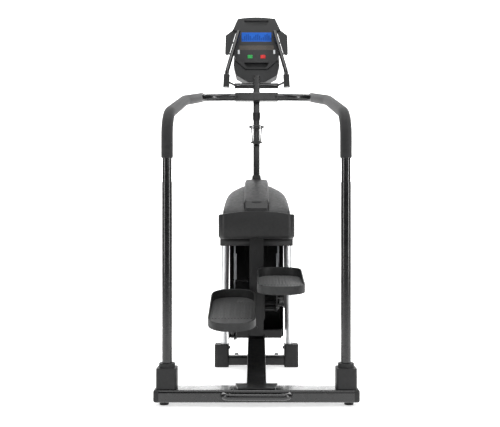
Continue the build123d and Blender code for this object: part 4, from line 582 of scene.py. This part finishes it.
line = through([(0.0, y, z) for y, z in ridge_line], 5)
ridge_rows = []
for i, point in enumerate(line):
    along = (line[min(i + 1, len(line) - 1)] - line[max(i - 1, 0)]).normalized()
    outward = Vector((0.0, -along.z, along.y))
    ridge_rows.append([(across, point.y + outward.y * out, point.z + outward.z * out)
                       for across, out in ridge_section()])
ridge_mesh = surface("ridge_shell", ridge_rows, (0.0, SHROUD_REAR + 220.0, BAND_TOP + 40.0))
soften(walled(place_piece("ridge_shell", ridge_mesh, cover_abs, "ridge_cover"), WALL), 0.8)
softened_copy("ridge_badge", 0.7, dark_window, 3)
print("ridge faces", len(ridge_mesh.polygons))

# %% [markdown]
# The band below the dome is one wrap-round moulding. Seen from above it has a chamfer at each rear corner
# and a faint crease at its middle. Its top edge arches up over the ridge's foot, and its lower edge is cut
# back. A section is carried round that plan, mitred at each corner.

# %% Rear band
BAND_ARCH = 14.0
LOWER_CUT = 12.0
lip_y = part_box("upright_frame")[0].y / MM + 35.0
band_plan = [(-BAND_HALF, SHROUD_SPLIT), (-BAND_HALF, SHROUD_REAR + BAND_CHAMFER + 8.0),
             (-BAND_HALF + 4.0, SHROUD_REAR + BAND_CHAMFER - 8.0), (-FACE_HALF - 2.0, SHROUD_REAR + 5.0),
             (-FACE_HALF + 7.0, SHROUD_REAR - 0.5)]
band_plan += [(x, SHROUD_REAR - 4.0 + 3.5 * abs(x) / FACE_HALF) for x in range(-140, 1, 20)]
band_plan += [(-x, y) for x, y in reversed(band_plan[:-1])]


def plan_normals(plan):
    """Mitred outward directions along an open plan that runs anticlockwise round its inside."""
    found = []
    for i, point in enumerate(plan):
        near = [(Vector(plan[j + 1]) - Vector(plan[j])).normalized() for j in (i - 1, i)
                if 0 <= j < len(plan) - 1]
        sides = [Vector((-d.y, d.x)) * -1.0 for d in near]
        mean = sum(sides, Vector((0.0, 0.0))).normalized()
        found.append(mean / max(0.5, mean.dot(sides[0])))
    return found


def band_rise(x, y):
    """How far the top edge arches up at this point of the plan."""
    return BAND_ARCH * max(0.0, 1.0 - (x / 150.0) ** 2) if y < SHROUD_REAR + BAND_CHAMFER else 0.0


outward_of = plan_normals(band_plan)
if outward_of[len(band_plan) // 2].y > 0.0:
    outward_of = [-direction for direction in outward_of]
band_rows = []
for (x, y), direction in zip(band_plan, outward_of):
    top = BAND_TOP + band_rise(x, y)
    section = [(-20.0, BAND_BOTTOM), (-LOWER_CUT, BAND_BOTTOM), (-LOWER_CUT + 4.0, BAND_BOTTOM + 1.5),
               (-1.2, BAND_BOTTOM + LOWER_CUT - 1.0), (0.0, BAND_BOTTOM + LOWER_CUT + 2.0), (0.0, top - 5.0),
               (-1.5, top - 1.5), (-5.0, top), (-11.0, top)]
    band_rows.append([(x + direction.x * out, y + direction.y * out, z) for out, z in section])
band_mesh = surface("band", band_rows, (0.0, SHROUD_REAR + 150.0, BAND_TOP - 50.0))
skirt_half = BAND_HALF - 4.0
skirt_plan = [(-skirt_half, SHROUD_SPLIT), (-skirt_half, lip_y + 6.0), (-skirt_half + 6.0, lip_y),
              (skirt_half - 6.0, lip_y), (skirt_half, lip_y + 6.0), (skirt_half, SHROUD_SPLIT)]
skirt_rows = [[(x, y, cover_low.z), (x, y, BAND_BOTTOM + 8.0)] for x, y in skirt_plan]
skirt_mesh = surface("skirt", skirt_rows, (0.0, SHROUD_REAR + 250.0, BAND_BOTTOM))
floor_plan = [(row[1][0], row[1][1], BAND_BOTTOM) for row in band_rows[1:-1]]
floor_plan += [(skirt_half - 6.0, lip_y, BAND_BOTTOM), (-skirt_half + 6.0, lip_y, BAND_BOTTOM)]
floor_mesh = mesh_of("band_floor", floor_plan, [tuple(range(len(floor_plan)))],
                     (0.0, SHROUD_REAR + 100.0, 900.0))
work = bmesh.new()
for part in (band_mesh, skirt_mesh, floor_mesh):
    work.from_mesh(part)
whole = bpy.data.meshes.new("rear_band_shell")
work.to_mesh(whole)
work.free()
smooth_below(whole, 35.0)
# The band gets the darker copy of the cover plastic, with the shade of its upright face painted in.
walled(place_piece("rear_band_shell", whole, shade_darkened_abs, "rear_band"), WALL)
print("band faces", len(whole.polygons))

# %% [markdown]
# The front cover stands in for one deep moulding. Five blocks, narrower toward the top so that they stay
# inside the dome's section, are joined, remeshed into small even quads and relaxed. The steps between them
# still show as ledges from the far side, where a real cover would be one smooth curve. Then the open rear
# is cut clean and the shell gets its wall.

# %% Front cover
def prism(outline, half):
    """A closed prism across X from an outline of (y, z) points."""
    count = len(outline)
    points = [(x, y, z) for x in (-half, half) for y, z in outline]
    faces = [tuple(range(count)), tuple(range(2 * count - 1, count - 1, -1))]
    faces += [(i, (i + 1) % count, count + (i + 1) % count, count + i) for i in range(count)]
    return points, faces


def baked(made):
    """The evaluated mesh of an object, with the object itself removed."""
    graph = bpy.context.evaluated_depsgraph_get()
    mesh = bpy.data.meshes.new_from_object(made.evaluated_get(graph))
    bpy.data.objects.remove(made)
    return mesh


def relaxed_union(name, bodies, voxel, passes):
    """Join closed bodies, remesh them into small quads and smooth the corners."""
    made = bpy.data.objects.new(name, joined(name, bodies))
    bpy.context.scene.collection.objects.link(made)
    remesh = made.modifiers.new("remesh", "REMESH")
    remesh.mode = "VOXEL"
    remesh.voxel_size = voxel * MM
    relax = made.modifiers.new("relax", "SMOOTH")
    relax.iterations = passes
    relax.factor = 0.5
    return baked(made)


nose, rear = cover_high.y, SHROUD_SPLIT - 25.0
wide = [(rear, cover_low.z), (nose - 60.0, cover_low.z), (nose - 20.0, 650.0), (nose - 20.0, 720.0),
        (nose - 40.0, 745.0), (rear, 745.0)]
shoulder = [(rear, 640.0), (nose - 20.0, 700.0), (nose - 20.0, 760.0), (nose - 60.0, 796.0), (rear, 796.0)]
tall = [(rear, 640.0), (nose - 40.0, 660.0), (nose, 700.0), (nose, 800.0),
        (nose - 22.0, 856.0), (rear, 856.0)]
upper = [(rear, 800.0), (nose, 800.0), (nose - 30.0, 880.0), (rear, 880.0)]
crest = [(rear, 800.0), (nose - 10.0, 800.0), (nose - 36.0, 890.0),
         (nose - 70.0, cover_high.z), (rear, cover_high.z)]
cover_mesh = relaxed_union("cover_form", [prism(wide, BAND_HALF), prism(shoulder, 146.0), prism(tall, 110.0),
                                           prism(upper, 70.0), prism(crest, RIDGE_HALF + 2.0)], 4.0, 10)
work = bmesh.new()
work.from_mesh(cover_mesh)
bmesh.ops.bisect_plane(work, geom=[*work.verts, *work.edges, *work.faces], clear_outer=True,
                       plane_co=Vector((0.0, SHROUD_SPLIT + 0.3, 0.0)) * MM, plane_no=(0.0, -1.0, 0.0))
slot_half, slot_end = RIDGE_HALF + 0.5, ridge_high.y + 0.5
for plane, facing in (((slot_half, 0.0, 0.0), (1.0, 0.0, 0.0)), ((-slot_half, 0.0, 0.0), (1.0, 0.0, 0.0)),
                      ((0.0, slot_end, 0.0), (0.0, 1.0, 0.0))):
    bmesh.ops.bisect_plane(work, geom=[*work.verts, *work.edges, *work.faces],
                           plane_co=Vector(plane) * MM, plane_no=facing)
over_ridge = [face for face in work.faces
              if abs(face.calc_center_median().x) < slot_half * MM
              and face.calc_center_median().y < slot_end * MM and face.calc_center_median().z > 0.8]
bmesh.ops.delete(work, geom=over_ridge, context="FACES")
work.to_mesh(cover_mesh)
work.free()
cover_mesh.shade_smooth()
# The front cover gets the darker copy of the cover plastic, with its shade painted in.
walled(place_piece("front_cover_shell", cover_mesh, shade_darkened_abs, "front_cover"), WALL)
print("front cover faces", len(cover_mesh.polygons))

# %% [markdown]
# ## Pedals, mats and grips
# The pedals, mats, console, buttons, chains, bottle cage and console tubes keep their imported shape. Each only
# loses its knife edges, the pedals and the console by the widest bevels.

# %% Pedals, console and small pieces
small_widths = {"left_pedal": 2.2, "right_pedal": 2.2, "left_tread_mat": 0.4, "right_tread_mat": 0.4,
                "left_chain": 0.6, "right_chain": 0.6, "bottle_cage": 0.0, "console_front": 2.0,
                "console_back": 3.0, "start_button": 1.2, "stop_button": 1.2, "lcd_window": 0.4,
                "label_strip": 0.2, "handlebar": 0.0, "pulse_grips": 1.2, "frame_bolts": 0.5}
for node, width in small_widths.items():
    softened_copy(node, width)
print("small pieces", len(small_widths))

# %% [markdown]
# The handrails carry a foam sleeve each. A sleeve is a closed tube round the rail's own bends, with its ends
# drawn in over a rounded lip.

# %% Foam sleeves
FOAM_RADIUS = 22.5
FOAM_LIP = 4.0
FOAM_SHARE = 0.94
RAIL_BENDS = (110.0, 250.0)
grip_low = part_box("handrail_grips")[0] / MM
post_y = (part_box("handrail_posts")[0].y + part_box("handrail_posts")[1].y) / 2 / MM
sleeves = []
for side in (-1, 1):
    first = Vector((side * 341.0, post_y, 1105.0))
    second = Vector((side * 320.0, post_y + 450.0, 1250.0))
    third = Vector((side * 262.0, post_y + 735.0, 1322.0))
    stop = second.lerp(third, FOAM_SHARE)
    path = bent([(side * 341.0, post_y, grip_low.z), first, second, stop], RAIL_BENDS, 4.0)
    sleeves.append(closed_tube(tube_rows(path, FOAM_RADIUS, 32, FOAM_LIP)))
sleeve_mesh = joined("foam_sleeves", sleeves)
sleeve = place_piece("foam_sleeves", sleeve_mesh, foam, "handrail_grips")
print("sleeves", len(sleeve_mesh.polygons), "faces")

# %% [markdown]
# ## Floor, light and camera
# The floor and the backdrop are one pale sheet that curves up behind the object. Soft area lights stand
# overhead and to each side, as in a product studio, and two narrow strips draw the bright lines that chrome
# and gloss paint need. The camera looks level along +Y from waist height, as the object's user walks up.

# %% Studio
low, high = (Vector(corner) / MM for corner in start_box)
sweep = bent([(-6000.0, -6000.0, 0.0), (-6000.0, 4200.0, 0.0), (-6000.0, 4200.0, 5200.0)], [1500.0], 4.0)
backdrop = surface("studio_sweep", [[point, (6000.0, point.y, point.z)] for point in sweep],
                   (0.0, 4200.0, -9000.0))
paper, paper_tree, paper_shader, paper_place = new_material("matt studio paper", Roughness=0.9,
                                                            Emission_Strength=0.62)
paper_tree.links.new(mottle(paper_tree, paper_place, 900.0, srgb("eeeeee"), srgb("f4f4f4")),
                     paper_shader.inputs["Base Color"])
paper_shader.inputs["Emission Color"].default_value = srgb("ffffff")
backdrop.materials.append(paper)
studio = bpy.data.objects.new("studio_sweep", backdrop)
bpy.context.scene.collection.objects.link(studio)


def area_light(name, place, aim, width, tall, watts):
    data = bpy.data.lights.new(name, "AREA")
    data.shape, data.size, data.size_y, data.energy = "RECTANGLE", width, tall, watts
    made = bpy.data.objects.new(name, data)
    bpy.context.scene.collection.objects.link(made)
    made.location = place
    made.rotation_euler = (Vector(aim) - Vector(place)).to_track_quat("-Z", "Y").to_euler()


area_light("overhead", (0.0, -0.4, 3.2), (0.0, 0.0, 0.8), 2.6, 2.6, 60.0)
area_light("left strip", (-2.4, -1.6, 1.5), (0.0, 0.0, 0.8), 0.4, 2.4, 30.0)
area_light("right strip", (2.4, -1.6, 1.5), (0.0, 0.0, 0.8), 0.4, 2.4, 40.0)
area_light("behind camera", (0.6, -3.8, 2.2), (0.0, 0.0, 0.7), 1.8, 1.4, 12.0)
area_light("backdrop wash", (0.0, 1.6, 3.4), (0.0, 4.0, 1.2), 4.0, 1.0, 120.0)
world = bpy.data.worlds.new("studio air")
world.use_nodes = True
air = next(n for n in world.node_tree.nodes if n.type == "BACKGROUND")
air.inputs["Color"].default_value = srgb("f2f4f6")
air.inputs["Strength"].default_value = 0.12
bpy.context.scene.world = world
bpy.context.scene.view_settings.view_transform = "Standard"

# %% Camera
CAMERA_BACK, CAMERA_HEIGHT = 2600.0, 634.0
lens = bpy.data.cameras.new("camera")
lens.sensor_width = 36.0
lens.lens = 49.1
lens.shift_x, lens.shift_y = -0.013, 0.049
camera = bpy.data.objects.new("camera", lens)
bpy.context.scene.collection.objects.link(camera)
camera.location = (0.0, (post_y - CAMERA_BACK) * MM, CAMERA_HEIGHT * MM)
camera.rotation_euler = (math.radians(90.0), 0.0, 0.0)
bpy.context.scene.camera = camera
print("camera", tuple(camera.location))
